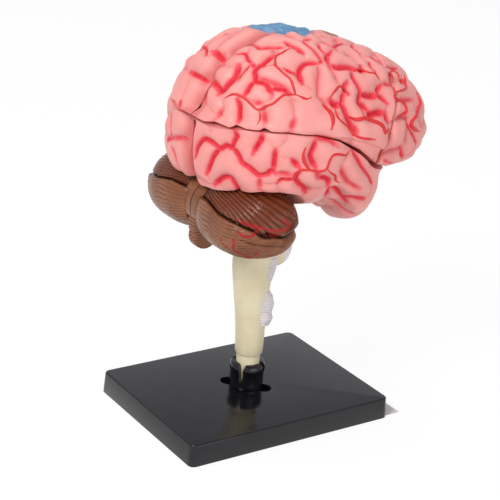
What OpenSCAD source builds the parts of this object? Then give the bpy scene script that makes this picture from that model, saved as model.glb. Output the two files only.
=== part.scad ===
// Take-apart model of the human brain on a black stand.
// X points forward to the frontal pole, Y to the left side and Z up; the table is at z = 0.

/* [Stand] */
// Length of the base plate, front to back
base_l = 88; // [70:1:120]
// Width of the base plate
base_w = 66; // [55:1:90]
// Height of the base plate
base_h = 8.4; // [8:0.2:14]
// Wall and top thickness of the hollow base plate
base_wall = 1.8; // [1.2:0.1:2.2]
// Radius of the plate's upright corners
base_corner_r = 2.5; // [1:0.5:6]
// Outer diameter of the split socket
socket_d = 12.8; // [12:0.2:15]
// Height of the socket's prongs above the plate
socket_h = 10.2; // [7:0.2:14]
// Width of the slits between the prongs
socket_slit = 1.6; // [0.8:0.1:2.4]
// Length of the bayonet slot in the plate
slot_l = 22.4; // [19:0.2:28]
// Width of the bayonet slot
slot_w = 4.6; // [3:0.1:5.4]
// Angle of the bayonet slot from the X axis
slot_turn = -51; // [-80:1:-20]

/* [Brain stem] */
// Diameter of the peg that stands in the socket
peg_d = 8.9; // [7:0.1:9.2]
// Depth of the peg below the stem's shoulder
peg_depth = 11; // [8:0.2:11.2]
// Diameter of the stem at its shoulder
stem_low_d = 10.4; // [9.6:0.1:11.4]
// Diameter of the medulla below the pons
stem_high_d = 17; // [14:0.5:19]
// Diameter of the midbrain that carries the hemispheres
midbrain_d = 14; // [11:0.5:15]
// Radius of the pons
pons_r = 9.5; // [8.5:0.5:11]
// Half width of the pons
pons_half_w = 11; // [9:0.5:12]

/* [Brain] */
// Half width of the cerebrum
brain_half_w = 40; // [37:0.5:44]
// Height of the cerebrum's centre above the table
brain_z = 109; // [105:0.5:116]
// Distance of the cerebrum's centre in front of the stem
brain_lead = 8; // [6:0.5:10]
// Thickness of the cortex pieces around the white matter
cortex_wall = 14; // [12:0.5:16]
// Half width of the white matter core
core_half_w = 17.5; // [15:0.5:20]
// Distance of the core's flat foot below the cerebrum's centre
core_drop = 11; // [10:0.5:12]
// Depth of the furrows between the gyri
furrow_depth = 1.6; // [0:0.1:2]
// Width of the furrows
furrow_w = 5.2; // [3:0.1:6]
// Depth of the fissure between the hemispheres, on each side of it
fissure = 2; // [0:0.1:2.6]
// Height of the recessed band over the front of the seam between the lobes
lip_h = 5.4; // [3:0.1:7]
// Depth of that band
lip_depth = 1.3; // [0.6:0.1:2]
// Width of the wedge that opens in the seam below the band
wedge = 1.6; // [0:0.1:2.4]
// Half width of the space between the temporal lobes
temporal_gap = 13; // [12:0.5:15]

/* [Cerebellum] */
// Half length of the cerebellum
cereb_l = 17.2; // [14:0.2:19]
// Height of a cerebellar hemisphere above and below its middle
cereb_h = 12.9; // [11:0.2:14]
// Greatest distance of the cerebellum from the midline
cereb_half_w = 36.5; // [30:0.5:40]
// Half thickness of the vermis
vermis_half_w = 3; // [2:0.2:4]
// Height of the folia on the cerebellum
folia_h = 0.45; // [0:0.05:0.8]

/* [Fits] */
// Gap between two pieces that lift apart
part_gap = 0.35; // [0.2:0.05:0.6]
// Gap between an inner piece and its seat
seat_gap = 0.25; // [0.1:0.05:0.4]
// Running fit of a peg in its bore, on the radius
fit = 0.1; // [0.05:0.01:0.15]
// Diameter of the pegs on the cortex pieces
pin_d = 2.6; // [2:0.1:3.4]
// Length of the pegs on the cortex pieces
pin_l = 7; // [5:0.5:9]

/* [Hidden] */

pink = [0.97, 0.64, 0.63];
brown = [0.58, 0.38, 0.27];
cream = [0.88, 0.84, 0.70];
black = [0.09, 0.09, 0.1];

// Reach of the frontal pole in front of the cerebrum's centre
brain_front = 53.4;
// The stand's axis, set so that the origin lies under the middle of the whole model
stem_x = (base_l / 2 - brain_lead - brain_front) / 2;
brain_x = stem_x + brain_lead;
base_top = base_h;
socket_r = socket_d / 2;
bore_r = peg_d / 2 + fit;
socket_top = base_top + socket_h;
shoulder_z = socket_top + 1.4;
peg_z = shoulder_z - peg_depth;
socket_floor = peg_z - part_gap;
stem_top = brain_z - core_drop;
lug_l = slot_l - 1;
lug_w = slot_w - 0.8;
lug_t = 1.4;

// Side outline of the cerebrum as angle and distance from its centre
outline = [[-40, 35], [-25, 31], [-16, 36.5], [-8, 49.5], [5, 53.5], [22, 49.5], [42, 42.5], [65, 37],
    [90, 37], [115, 39], [140, 42], [160, 41.5], [180, 42.5], [200, 42], [218, 33], [236, 27.5],
    [256, 24], [278, 25], [300, 38]];
// Exponent of the cerebrum's rounded cross sections
fullness = 2.3;

// Smooth periodic curve through the outline's points
function knot(i) = let (n = len(outline), k = ((i % n) + n) % n)
    [outline[k][0] + 360 * floor(i / n), outline[k][1]];
function slope(i) = (knot(i + 1)[1] - knot(i - 1)[1]) / (knot(i + 1)[0] - knot(i - 1)[0]);
function turned(a) = a < outline[0][0] ? turned(a + 360)
    : a >= outline[0][0] + 360 ? turned(a - 360) : a;
function span_of(a) = len([for (k = outline) if (k[0] <= a) 1]) - 1;
function rim(angle) = let (a = turned(angle), i = span_of(a), p = knot(i), q = knot(i + 1),
    w = q[0] - p[0], t = (a - p[0]) / w)
    p[1] * (2 * t^3 - 3 * t^2 + 1) + q[1] * (3 * t^2 - 2 * t^3)
    + w * (slope(i) * (t^3 - 2 * t^2 + t) + slope(i + 1) * (t^3 - t^2));
function polar(r, a) = [r * cos(a), r * sin(a)];
function mix(a, b, t) = a + (b - a) * t;

// Half width of the cerebrum at a place in its side view
function skin_y(p) = brain_half_w
    * max(0, 1 - (norm(p) / rim(atan2(p[1], p[0])))^fullness)^(1 / fullness);
// Point of the cerebrum's surface seen from its centre, by turn from the front and by height
function skin_at(ll) = let (d = [cos(ll[1]) * cos(ll[0]), cos(ll[1]) * sin(ll[0]), sin(ll[1])],
    across = norm([d[0], d[2]]))
    d / ((across / rim(atan2(d[2], d[0])))^fullness + (abs(d[1]) / brain_half_w)^fullness)^(1 / fullness);
// Outward direction of the surface at a point
function outward(p) = let (r = max(0.01, norm([p[0], p[2]])), s = rim(atan2(p[2], p[0])),
    k = (r / s)^(fullness - 1) / s / r, g = [p[0] * k, (p[1] / brain_half_w)^(fullness - 1) / brain_half_w,
    p[2] * k]) g / norm(g);

// Furrows of the cortex, each a line of [turn, height] in degrees
deep_furrows = [
    [[180, 61], [171, 58], [163, 56], [156, 56], [148, 59], [139, 60]],
    [[179, 30], [171, 30], [163, 29], [160, 36], [161, 41]],
    [[170, 48], [164, 49], [158, 47], [149, 43], [144, 51], [142, 53]],
    [[154, 26], [152, 24], [151, 20], [150, 15]],
    [[177, 22], [174, 19]],
    [[130, 65], [123, 64], [118, 60], [116, 57]],
    [[127, 44], [120, 41], [115, 48], [106, 50]],
    [[92, 66], [95, 61], [89, 58], [83, 59]],
    [[89, 58], [96, 52], [89, 48], [79, 47], [70, 46], [64, 45]],
    [[78, 44], [79, 35], [84, 28], [83, 26]],
    [[80, 31], [73, 30], [67, 29], [63, 25], [57, 23]],
    [[88, 70], [74, 65], [68, 63], [57, 62]],
    [[38, 56], [42, 52], [49, 47], [53, 44], [56, 41]],
    [[39, 46], [41, 43], [41, 40]],
    [[58, 36], [60, 34], [57, 31], [52, 29]],
    [[172, -6], [171, 1], [163, 3], [157, 2], [151, 5], [150, 12]],
    [[158, 2], [160, -3], [163, -9], [164, -12]],
    [[150, 5], [145, -1], [138, -6], [132, -5], [129, 0], [130, 5]],
    [[135, 13], [137, 8], [139, 5], [139, 3]],
    [[160, -17], [155, -12], [147, -16], [148, -24]],
    [[111, 11], [113, 6], [110, -2], [108, -4]],
    [[119, -8], [117, -12], [114, -16], [113, -19]],
    [[109, -5], [103, -10], [101, -18], [100, -23]],
    [[101, -15], [95, -18], [87, -25], [80, -24], [72, -25]],
    [[90, 5], [84, -2], [78, -9], [72, -14], [60, -24]],
    [[59, 1], [56, 0], [54, -3], [53, -5]],
    [[61, -7], [52, -8], [51, -6], [43, -6]],
    [[4, 50], [13, 45], [12, 37], [20, 31]],
    [[1, 22], [8, 24], [16, 20], [24, 22]],
    [[3, 8], [13, 12], [22, 6], [30, 8]],
    [[178, 6], [179, -2], [176, -12], [178, -20]],
    [[106, 50], [107, 43], [108, 36], [106, 29], [103, 26]],
    [[94, 49], [95, 43], [95, 39]],
    [[82, 58], [67, 57], [59, 53], [62, 49], [65, 46]],
    [[50, 13], [52, 5], [63, 1], [71, 0]]
];
shallow_furrows = [
    [[149, 43], [146, 37], [149, 33], [150, 28]],
    [[146, 37], [139, 36], [132, 34], [126, 32]],
    [[139, 22], [137, 20], [136, 16]],
    [[134, 46], [128, 45], [122, 43]],
    [[105, 67], [102, 61], [100, 52], [106, 50]],
    [[89, 38], [89, 35], [90, 32]],
    [[103, 31], [95, 28], [92, 23], [89, 15]],
    [[83, 26], [77, 21], [67, 20], [66, 15]],
    [[45, 54], [38, 50], [30, 44], [26, 38]],
    [[41, 40], [33, 36], [24, 31], [30, 29], [35, 27]],
    [[46, 25], [48, 22], [45, 21], [39, 20]],
    [[136, -7], [136, -11], [136, -15]],
    [[96, -3], [88, -14], [80, -19]],
    [[90, -34], [76, -38], [64, -40]],
    [[89, 23], [88, 17], [86, 13]],
    [[49, 6], [45, 2], [45, 0]],
    [[6, -4], [16, -5], [26, -2], [32, -8]],
    [[170, -30], [158, -34], [146, -32], [132, -36], [118, -34]],
    [[168, -45], [150, -48], [130, -46], [112, -50], [96, -44]],
    [[140, -60], [110, -64], [80, -58]],
    [[179, 44], [171, 40], [167, 36]],
    [[178, 14], [170, 12], [168, 20]],
    [[30, 66], [44, 66], [50, 74]],
    [[170, 70], [150, 72], [140, 78]]
];
deep_lines = [for (f = deep_furrows) [for (ll = f) skin_at(ll)]];
shallow_lines = [for (f = shallow_furrows) [for (ll = f) skin_at(ll)]];
function to_segment(p, a, b) = let (d = b - a, t = max(0, min(1, (p - a) * d / (d * d)))) norm(p - a - t * d);
function near_line(p, line) = min([for (k = [0:len(line) - 2]) to_segment(p, line[k], line[k + 1])]);
function nearest(p, lines) = min([for (line = lines) near_line(p, line)]);
function dip(d) = d >= furrow_w / 2 ? 0 : furrow_depth * (1 + cos(360 * d / furrow_w)) / 2;
function groove(p) = max(dip(nearest(p, deep_lines)), 0.75 * dip(nearest(p, shallow_lines)));

// Cut between the upper cortex and the temporal lobe, from the back rim to the front rim
sylvian = [[-40.4, 8.4], [-34, 10], [-24, 10.3], [-14, 9.6], [-5, 7.3], [4, 3], [13, -3.5], [24, -8],
    [32.5, -10.6]];
// Number of the sylvian point where the frontal pole piece begins
pole_knot = 6;
// Angle at which the seam of the frontal pole piece reaches the outline
pole_angle = 47;
// Angle at which the sylvian cut leaves the outline at the back
back_angle = 167.5;
// Angle at which it leaves the outline at the front
front_angle = -17.5;

function along(line, t) = let (s = t * (len(line) - 1), i = min(len(line) - 2, floor(s)))
    mix(line[i], line[i + 1], s - i);
function part_of(line, i, j) = [for (k = [i:j]) line[k]];

// One cortex piece as a grid of columns, each from the outline to the cut line.
// The surface stands over the side view, so that every seam runs straight across.
// The row at the midline lies deeper, as the hemispheres round off into the fissure.
function column(from, to, inner, rows, fixed, lip = 0) = [for (j = [0:rows])
    let (s = 1 - cos(90 * j / rows)^0.87, reach = norm(to - from),
    drop = j == 0 && inner < part_gap ? min(fissure, reach / 4) / max(reach, 0.01) : 0,
    q = mix(from, to, max(s, drop)), y = max(inner, skin_y(q) - (norm(q - to) < lip ? lip_depth : 0)),
    p = [q[0], y, q[1]], free = j == 0 || j == rows || fixed, d = groove(p), o = outward(p))
    free ? [p[0], j == 0 ? inner : max(inner, y - d * 0.8), p[2]] : p - d * o];
function rim_point(a, inner) = polar(rim(a) * (1 - (inner / brain_half_w)^fullness)^(1 / fullness), a);

// Closes a grid of columns with the seam walls and the flat inner side
module shell(cols, inner) {
    n = len(cols) - 1;
    r = len(cols[0]) - 1;
    m = r + 1;
    points = [for (c = cols) each c, for (i = [0:n]) [cols[i][r][0], inner[i], cols[i][r][2]]];
    base = m * (n + 1);
    faces = [
        for (i = [0:n - 1]) for (j = [0:r - 1]) each [
            [i * m + j, (i + 1) * m + j + 1, i * m + j + 1],
            [i * m + j, (i + 1) * m + j, (i + 1) * m + j + 1]],
        for (i = [0:n - 1]) each [
            [i * m + r, base + i + 1, base + i],
            [i * m + r, (i + 1) * m + r, base + i + 1]],
        for (i = [0:n - 1]) each [
            [base + i, (i + 1) * m, i * m],
            [base + i, base + i + 1, (i + 1) * m]],
        [base, for (j = [0:r]) j],
        [for (j = [r:-1:0]) n * m + j, base + n]];
    polyhedron(points, faces);
}

// Places pieces of one half of the brain; side is 1 for the left and -1 for the right
module half(side) {
    translate([brain_x, 0, brain_z]) mirror([0, side > 0 ? 0 : 1, 0]) children();
}
// Lays a side outline up and gives it a thickness from y0 to y1
module slab(y0, y1) {
    translate([0, y1, 0]) rotate([90, 0, 0]) linear_extrude(height = y1 - y0) children();
}
module peg_at(p, y0, y1, d) {
    translate([p[0], y1, p[1]]) rotate([90, 0, 0]) cylinder(d = d, h = y1 - y0, $fn = 32);
}

// White matter core: the outline less the cortex, with a flat foot
function core_r(a, grow) = let (r = rim(a) - cortex_wall + grow)
    sin(a) < 0 ? min(r, (core_drop + grow) / -sin(a)) : r;
module core_outline(grow) {
    polygon([for (k = [0:44]) polar(core_r(8 * k, grow), 8 * k)]);
}
insula_size = [13, 8.5];
insula_at = [-3, 4];
insula_t = 2.6;
module insula_outline(grow) {
    polygon([for (k = [0:31]) insula_at + [(insula_size[0] + grow) * cos(k * 11.25),
        (insula_size[1] + grow) * sin(k * 11.25)]]);
}
// Hollow on the inner side of the cortex pieces
module core_hollow() {
    slab(-1, core_half_w + part_gap) core_outline(part_gap);
    slab(0, core_half_w + insula_t + 2 * part_gap) insula_outline(part_gap);
}
// Straight channel under the temporal piece, in which the cerebellum lies
module cereb_hollow() {
    l = cereb_l + folia_h + part_gap;
    h = cereb_h + folia_h + part_gap;
    slab(-1, brain_half_w + 1) polygon([for (k = [0:47]) let (c = cos(7.5 * k), d = sin(7.5 * k))
        [cereb_u - brain_lead + l * sign(c) * abs(c)^(2 / cereb_full),
        cereb_z - brain_z + h * sign(d) * abs(d)^(2 / cereb_full)]]);
}
cap_pins = [[-17, 13.5], [13, 15]];
pole_pins = [[30, 6]];
temporal_pins = [[-20, -1], [9, -7]];
module pins(places) {
    for (p = places) peg_at(p, core_half_w - pin_l, core_half_w + 2, pin_d);
}

cap_cols = 39;
cap_rows = 26;
// Share of the seam that has the recessed band
lip_share = 0.42;
module frontoparietal(side) {
    cut = part_of(sylvian, 0, pole_knot);
    cols = [for (i = [0:cap_cols]) let (t = i / cap_cols, a = mix(pole_angle, back_angle, t))
        column(rim_point(a, part_gap / 2), along(cut, 1 - t), part_gap / 2, cap_rows, i == 0 || i == cap_cols,
        lip_h * (1 - t / lip_share))];
    color(pink) half(side) {
        difference() {
            shell(cols, [for (c = cols) part_gap / 2]);
            core_hollow();
        }
        pins(cap_pins);
    }
}

pole_cols = 20;
pole_rows = 14;
module frontal_pole(side) {
    top = polar(rim(pole_angle), pole_angle);
    start = sylvian[pole_knot];
    seam = (top - start) / norm(top - start);
    off = part_gap * [seam[1], -seam[0]];
    cut = part_of(sylvian, pole_knot, len(sylvian) - 1);
    end_a = pole_angle - atan(part_gap / norm(top));
    cols = [for (i = [0:pole_cols]) let (t = i / pole_cols, a = mix(end_a, front_angle + 1, t))
        column(rim_point(a, part_gap / 2), t == 0 ? start + off : along(cut, t) + off * (1 - t),
        part_gap / 2, pole_rows, i == 0 || i == pole_cols)];
    color(pink) half(side) {
        difference() {
            shell([for (i = [pole_cols:-1:0]) cols[i]], [for (c = cols) part_gap / 2]);
            core_hollow();
        }
        pins(pole_pins);
    }
}

temporal_cols = 38;
temporal_rows = 16;
// The seam opens in a wedge over its front half
function opening(t) = max(0, 1 - abs(t - 0.72) / 0.22);
module temporal(side) {
    inner = [for (i = [0:temporal_cols]) let (t = i / temporal_cols)
        mix(part_gap / 2, temporal_gap, max(0, min(1, (t - 0.2) / 0.08)))];
    cols = [for (i = [0:temporal_cols]) let (t = i / temporal_cols,
        a = mix(back_angle + 0.8, front_angle + 359.2, t))
        column(rim_point(a, inner[i]), along(sylvian, t) - [0, part_gap + wedge * opening(t)], inner[i],
        temporal_rows, i == 0 || i == temporal_cols)];
    color(pink) half(side) {
        difference() {
            shell(cols, inner);
            core_hollow();
            cereb_hollow();
        }
        pins(temporal_pins);
    }
}

module white_matter(side) {
    color([0.93, 0.87, 0.78]) half(side) difference() {
        slab(part_gap / 2, core_half_w) core_outline(0);
        slab(-1, arch_half_w + seat_gap) arch(arch_in - seat_gap, fornix_out + seat_gap, arch_ends + 2);
        peg_at(thalamus_at, -1, thalamus_w + seat_gap, 2 * (thalamus_r + seat_gap));
        peg_at(ganglia_at, core_half_w - ganglia_w - seat_gap, core_half_w + 1, 2 * (ganglia_r + seat_gap));
        for (p = concat(cap_pins, pole_pins, temporal_pins))
            peg_at(p, core_half_w - pin_l - 0.5, core_half_w + 1, pin_d + 2 * fit);
        at_tract() rotate([0, 90, 0]) cylinder(d = tract_d + 0.1, h = tract_l, $fn = 24);
    }
}

// Nested arches around the thalamus, each set in from the core's outline
arch_half_w = 5;
arch_ends = 5;
arch_in = 5;
arch_t = 4;
ventricle_t = 2.6;
fornix_t = 2;
ventricle_in = arch_in + arch_t + seat_gap;
fornix_in = ventricle_in + ventricle_t + seat_gap;
fornix_out = fornix_in + fornix_t;
module arch(from, to, ends) {
    turns = concat([-ends], [for (k = [0:24]) 7.5 * k], [180 + ends]);
    polygon([for (a = turns) polar(rim(a) - cortex_wall - from, a),
        for (k = [len(turns) - 1:-1:0]) polar(rim(turns[k]) - cortex_wall - to, turns[k])]);
}
module corpus_callosum() {
    color([0.95, 0.9, 0.8]) half(1) slab(-arch_half_w, arch_half_w) arch(arch_in, arch_in + arch_t, arch_ends);
}
module ventricle(side) {
    color([0.35, 0.55, 0.75]) half(side)
        slab(part_gap / 2, arch_half_w) arch(ventricle_in, ventricle_in + ventricle_t, arch_ends);
}
module fornix() {
    color([0.9, 0.82, 0.6]) half(1) slab(-arch_half_w, arch_half_w) arch(fornix_in, fornix_out, arch_ends);
}

thalamus_at = [-1, -1];
thalamus_r = 5.2;
thalamus_w = 9;
module thalamus(side) {
    color([0.75, 0.55, 0.55]) half(side) translate([thalamus_at[0], 0, thalamus_at[1]]) rotate([-90, 0, 0])
        rotate_extrude($fn = 48) polygon([[0, part_gap / 2], [thalamus_r, part_gap / 2],
            for (a = [0:15:90]) [thalamus_r * cos(a), thalamus_w - thalamus_r / 2 * (1 - sin(a))]]);
}
ganglia_at = [-3, 4];
ganglia_r = 7;
ganglia_w = 6;
module basal_ganglia(side) {
    color([0.7, 0.55, 0.75]) half(side) translate([ganglia_at[0], core_half_w, ganglia_at[1]]) rotate([90, 0, 0])
        rotate_extrude($fn = 48) polygon([[0, 0], [ganglia_r, 0],
            for (a = [0:15:90]) [ganglia_r * cos(a), ganglia_w - ganglia_r / 2 * (1 - sin(a))]]);
}
module insula(side) {
    color([0.93, 0.6, 0.58]) half(side) difference() {
        slab(core_half_w + seat_gap, core_half_w + insula_t) insula_outline(0);
        for (a = [50:20:130]) translate([insula_at[0], core_half_w + insula_t, insula_at[1] - 9])
            rotate([0, 90 - a, 0]) translate([4, 0, 0]) rotate([0, 90, 0]) cylinder(d = 1.2, h = 16, $fn = 16);
    }
}

hippocampus_r = 14;
hippocampus_tube = 2.1;
hippocampus_at = [7, -2.6];
module hippocampus(side) {
    color([0.8, 0.65, 0.3]) half(side)
        translate([hippocampus_at[0], midbrain_d / 2 + hippocampus_tube + 1.3, hippocampus_at[1]])
        rotate([90, 0, 0]) rotate([0, 0, 238]) rotate_extrude(angle = 64, $fn = 72)
        translate([hippocampus_r, 0]) circle(r = hippocampus_tube, $fn = 24);
}
chiasm_t = 2.2;
chiasm_u = 8;
module optic_chiasm() {
    color([0.9, 0.85, 0.6]) translate([brain_x + chiasm_u, 0, stem_top - chiasm_t / 2 - seat_gap])
        for (s = [-1, 1]) rotate([0, 0, 35 * s]) cube([16, 2.6, chiasm_t], center = true);
}
module pituitary() {
    color([0.8, 0.45, 0.4]) translate([brain_x + chiasm_u, 0, stem_top - chiasm_t - 2 * seat_gap]) {
        translate([0, 0, -3]) cylinder(d = 1.8, h = 3, $fn = 24);
        translate([0, 0, -4.6]) sphere(r = 2.5, $fn = 32);
    }
}
olfactory_y = 4;
tract_d = 1.6;
tract_l = 14;
tract_seat = 3;
bulb_d = 2.8;
bulb_l = 4;
// Places the tract: it leaves the core's front under the frontal pole
tract_turn = -22;
module at_tract() {
    reach = core_r(tract_turn, 0) - tract_seat;
    translate([reach * cos(tract_turn), olfactory_y, reach * sin(tract_turn)]) rotate([0, -tract_turn, 0])
        children();
}
module olfactory_tract(side) {
    color([0.9, 0.82, 0.45]) half(side) at_tract() {
        rotate([0, 90, 0]) cylinder(d = tract_d, h = tract_l, $fn = 24);
        translate([tract_l - bulb_l, 0, 0]) rotate([0, 90, 0]) cylinder(d = bulb_d, h = bulb_l, $fn = 24);
    }
}

// Brain stem with its peg and the pons, one moulding
pons_lead = 5;
pons_drop = 40;
pons_z = brain_z - pons_drop;
// Widening of the medulla: share of the height up to the pons and share of the widening
stem_curve = [[0.14, 0.03], [0.27, 0.14], [0.45, 0.36], [0.59, 0.7], [0.7, 0.93], [0.79, 1]];
function stem_height(share) = mix(shoulder_z, pons_z, share);
module stem_profile() {
    r0 = peg_d / 2;
    r1 = stem_low_d / 2;
    r2 = stem_high_d / 2;
    r3 = midbrain_d / 2;
    polygon([[0, peg_z], [r0 - 0.6, peg_z], [r0, peg_z + 0.6], [r0, shoulder_z], [r1 - 0.2, shoulder_z],
        [r1, shoulder_z + 0.4], for (c = stem_curve) [mix(r1, r2, c[1]), stem_height(c[0])],
        [r2 - 0.3, stem_height(0.86)], [r3 + 0.8, stem_height(0.94)], [r3, stem_height(1.1)],
        [r3, stem_top], [0, stem_top]]);
}
module pons() {
    translate([pons_lead, 0, pons_z]) rotate([90, 0, 0]) rotate_extrude($fn = 64)
        polygon([[0, -pons_half_w], for (a = [-90:15:90]) [pons_r * (0.62 + 0.38 * cos(a)), pons_half_w * sin(a)],
            [0, pons_half_w]]);
}
root_turn = 35;
root_out = 7.3;
upper_root = [stem_height(0.62), 8.5, 2.3];
lower_root = [stem_height(0.28), 12.5, 2.1];
module at_roots(side, root) {
    rotate([0, 0, side * root_turn]) translate([root_out, 0, root[0]]) children();
}
module brain_stem() {
    color(cream) translate([stem_x, 0, 0]) difference() {
        union() {
            rotate([0, 0, 33]) rotate_extrude($fn = 72) stem_profile();
            pons();
        }
        for (side = [-1, 1]) for (root = [upper_root, lower_root])
            at_roots(side, root) cylinder(r = root[2] + 0.05, h = root[1], $fn = 32);
    }
}
root_pitch = 1.8;
module nerve_roots(side) {
    color([0.87, 0.84, 0.86]) translate([stem_x, 0, 0]) for (root = [upper_root, lower_root])
        at_roots(side, root) rotate_extrude($fn = 32) polygon([[0, 0], [root[2] - 0.6, 0],
            for (z = [0.3:0.3:root[1] - 0.3]) [root[2] - 0.25 + 0.25 * cos(360 * z / root_pitch + 180), z],
            [root[2] - 0.6, root[1]], [0, root[1]]]);
}
artery_r = 0.8;
module basilar_artery() {
    color([0.8, 0.15, 0.15]) translate([stem_x + pons_lead, 0, pons_z]) rotate([90, 0, 0])
        rotate([0, 0, -60]) rotate_extrude(angle = 125, $fn = 64)
        translate([pons_r + artery_r + 0.05, 0]) circle(r = artery_r, $fn = 16);
}

// Cerebellum: each hemisphere is a row of side sections in the channel under the temporal piece
cereb_u = -16.3;
cereb_z = brain_z - core_drop - part_gap - folia_h - cereb_h;
cereb_y = 16.4;
cereb_full = 2.3;
cereb_rows = 26;
cereb_cols = 13;
fissure_depth = 1.3;
stem_clear = midbrain_d / 2 + part_gap + 1.2;
// One side section, cut off in front by the stem and notched at the back by the level fissure
function cereb_ring(y, edge) = let (
    k = (1 - abs((y - cereb_y) / (cereb_half_w - cereb_y))^cereb_full)^(1 / cereb_full),
    back = -k * cereb_l,
    front = min(-0.998 * back, y < edge ? -stem_clear - cereb_u : cereb_l),
    at = [for (i = [0:cereb_cols]) let (dx = mix(back, front, (1 - cos(180 * i / cereb_cols)) / 2),
        dz = cereb_h * max(0, k^cereb_full - abs(dx / cereb_l)^cereb_full)^(1 / cereb_full), fine = folia_h / cereb_h)
        [dx, dz * (1 + fine * cos(75 * y)), -dz * (1 + fine * cos(180 * i))]])
    [for (i = [0:cereb_cols]) [cereb_u + (i == 0 ? back + fissure_depth * k : at[i][0]), y,
        cereb_z + (i == 0 ? 0 : at[i][1])],
    for (i = [cereb_cols:-1:1]) [cereb_u + at[i][0], y, cereb_z + at[i][2]]];
module cerebellum(side) {
    edge = pons_half_w + part_gap;
    step = [vermis_half_w + part_gap, mix(vermis_half_w, edge, 0.5), edge - 0.1, edge + 0.2];
    more = cereb_rows - len(step);
    ys = concat(step, [for (k = [1:more]) mix(edge, cereb_half_w, sin(90 * k / (more + 0.4)))]);
    rings = [for (y = ys) cereb_ring(y, edge)];
    n = len(rings[0]);
    last = len(ys) - 1;
    points = [for (r = rings) each r];
    faces = [
        for (j = [0:last - 1]) for (i = [0:n - 1]) let (k = (i + 1) % n) each [
            [j * n + i, (j + 1) * n + k, (j + 1) * n + i],
            [j * n + i, j * n + k, (j + 1) * n + k]],
        [for (i = [n - 1:-1:0]) i],
        [for (i = [0:n - 1]) last * n + i]];
    color(brown) translate([stem_x, 0, 0]) mirror([0, side > 0 ? 0 : 1, 0]) polyhedron(points, faces);
}
vermis_r = 9;
nodule_r = 5;
module vermis() {
    color([0.65, 0.4, 0.25]) translate([stem_x + cereb_u, 0, cereb_z]) difference() {
        union() {
            translate([-4.2, 0, -6.3]) rotate([90, 0, 0])
                cylinder(r = vermis_r, h = 2 * vermis_half_w, center = true, $fn = 48);
            translate([-7.7, 0, -11.3]) rotate([90, 0, 0])
                cylinder(r = nodule_r, h = 2 * vermis_half_w, center = true, $fn = 36);
        }
        translate([-stem_clear + 0.2 - cereb_u, -vermis_half_w - 1, -2 * cereb_h])
            cube([2 * vermis_r, 2 * vermis_half_w + 2, 4 * cereb_h]);
    }
}

// Stand
module rounded_block(l, w, h, r) {
    translate([-l / 2 + r, -w / 2, 0]) cube([l - 2 * r, w, h]);
    translate([-l / 2, -w / 2 + r, 0]) cube([l, w - 2 * r, h]);
    for (x = [-1, 1]) for (y = [-1, 1]) translate([x * (l / 2 - r), y * (w / 2 - r), 0])
        cylinder(r = r, h = h, $fn = 32);
}
neck_r = bore_r + 1.1;
module base_plate() {
    color(black) translate([stem_x, 0, 0]) difference() {
        rounded_block(base_l, base_w, base_h, base_corner_r);
        translate([0, 0, -1]) rounded_block(base_l - 2 * base_wall, base_w - 2 * base_wall,
            base_h - base_wall + 1, base_corner_r - base_wall / 2);
        cylinder(r = neck_r + fit, h = 30, $fn = 64);
        rotate([0, 0, slot_turn]) translate([-slot_l / 2 + slot_w / 2, -slot_w / 2, 0])
            cube([slot_l - slot_w, slot_w, 30]);
        rotate([0, 0, slot_turn]) for (s = [-1, 1]) translate([s * (slot_l - slot_w) / 2, 0, 0])
            cylinder(d = slot_w, h = 30, $fn = 32);
    }
}
module stand_socket() {
    under = base_top - base_wall - fit;
    lip = 0.6;
    color([0.07, 0.07, 0.08]) translate([stem_x, 0, 0]) difference() {
        union() {
            rotate_extrude($fn = 64) polygon([[0, under - lug_t], [neck_r, under - lug_t],
                [neck_r, base_top + fit], [socket_r + 0.9, base_top + fit], [socket_r + 0.9, base_top + fit + 0.8],
                [socket_r - 0.1, base_top + fit + 0.8], [socket_r - 0.1, socket_top - 3],
                [socket_r + lip, socket_top - 2], [socket_r + lip, socket_top - 1], [socket_r - 0.6, socket_top],
                [0, socket_top]]);
            intersection() {
                rotate([0, 0, slot_turn + 90]) translate([-lug_l / 2, -lug_w / 2, under - lug_t])
                    cube([lug_l, lug_w, lug_t]);
                cylinder(d = lug_l, h = 30, $fn = 64);
            }
        }
        translate([0, 0, socket_floor]) cylinder(r = bore_r, h = 30, $fn = 64);
        for (a = [0, 90]) rotate([0, 0, a - 55]) translate([-10, -socket_slit / 2, base_top + 2.2])
            cube([20, socket_slit, 30]);
    }
}

base_plate();
stand_socket();
brain_stem();
nerve_roots(-1);  // nerve_roots_right
nerve_roots(1);  // nerve_roots_left
cerebellum(-1);  // cerebellum_right
cerebellum(1);  // cerebellum_left
vermis();
frontoparietal(-1);  // frontoparietal_right
frontoparietal(1);  // frontoparietal_left
temporal(-1);  // temporal_right
temporal(1);  // temporal_left
frontal_pole(-1);  // frontal_pole_right
frontal_pole(1);  // frontal_pole_left
white_matter(-1);  // white_matter_right
white_matter(1);  // white_matter_left
insula(-1);  // insula_right
insula(1);  // insula_left
basal_ganglia(-1);  // basal_ganglia_right
basal_ganglia(1);  // basal_ganglia_left
thalamus(-1);  // thalamus_right
thalamus(1);  // thalamus_left
hippocampus(-1);  // hippocampus_right
hippocampus(1);  // hippocampus_left
ventricle(-1);  // ventricle_right
ventricle(1);  // ventricle_left
corpus_callosum();
fornix();
optic_chiasm();
pituitary();
olfactory_tract(-1);  // olfactory_tract_right
olfactory_tract(1);  // olfactory_tract_left
basilar_artery();
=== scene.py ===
# Dresses the take-apart brain model: carved and painted cortex, cerebellum, vessels, stem and stand.
import bpy
import math
import numpy as np
from mathutils import Matrix, Vector


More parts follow.
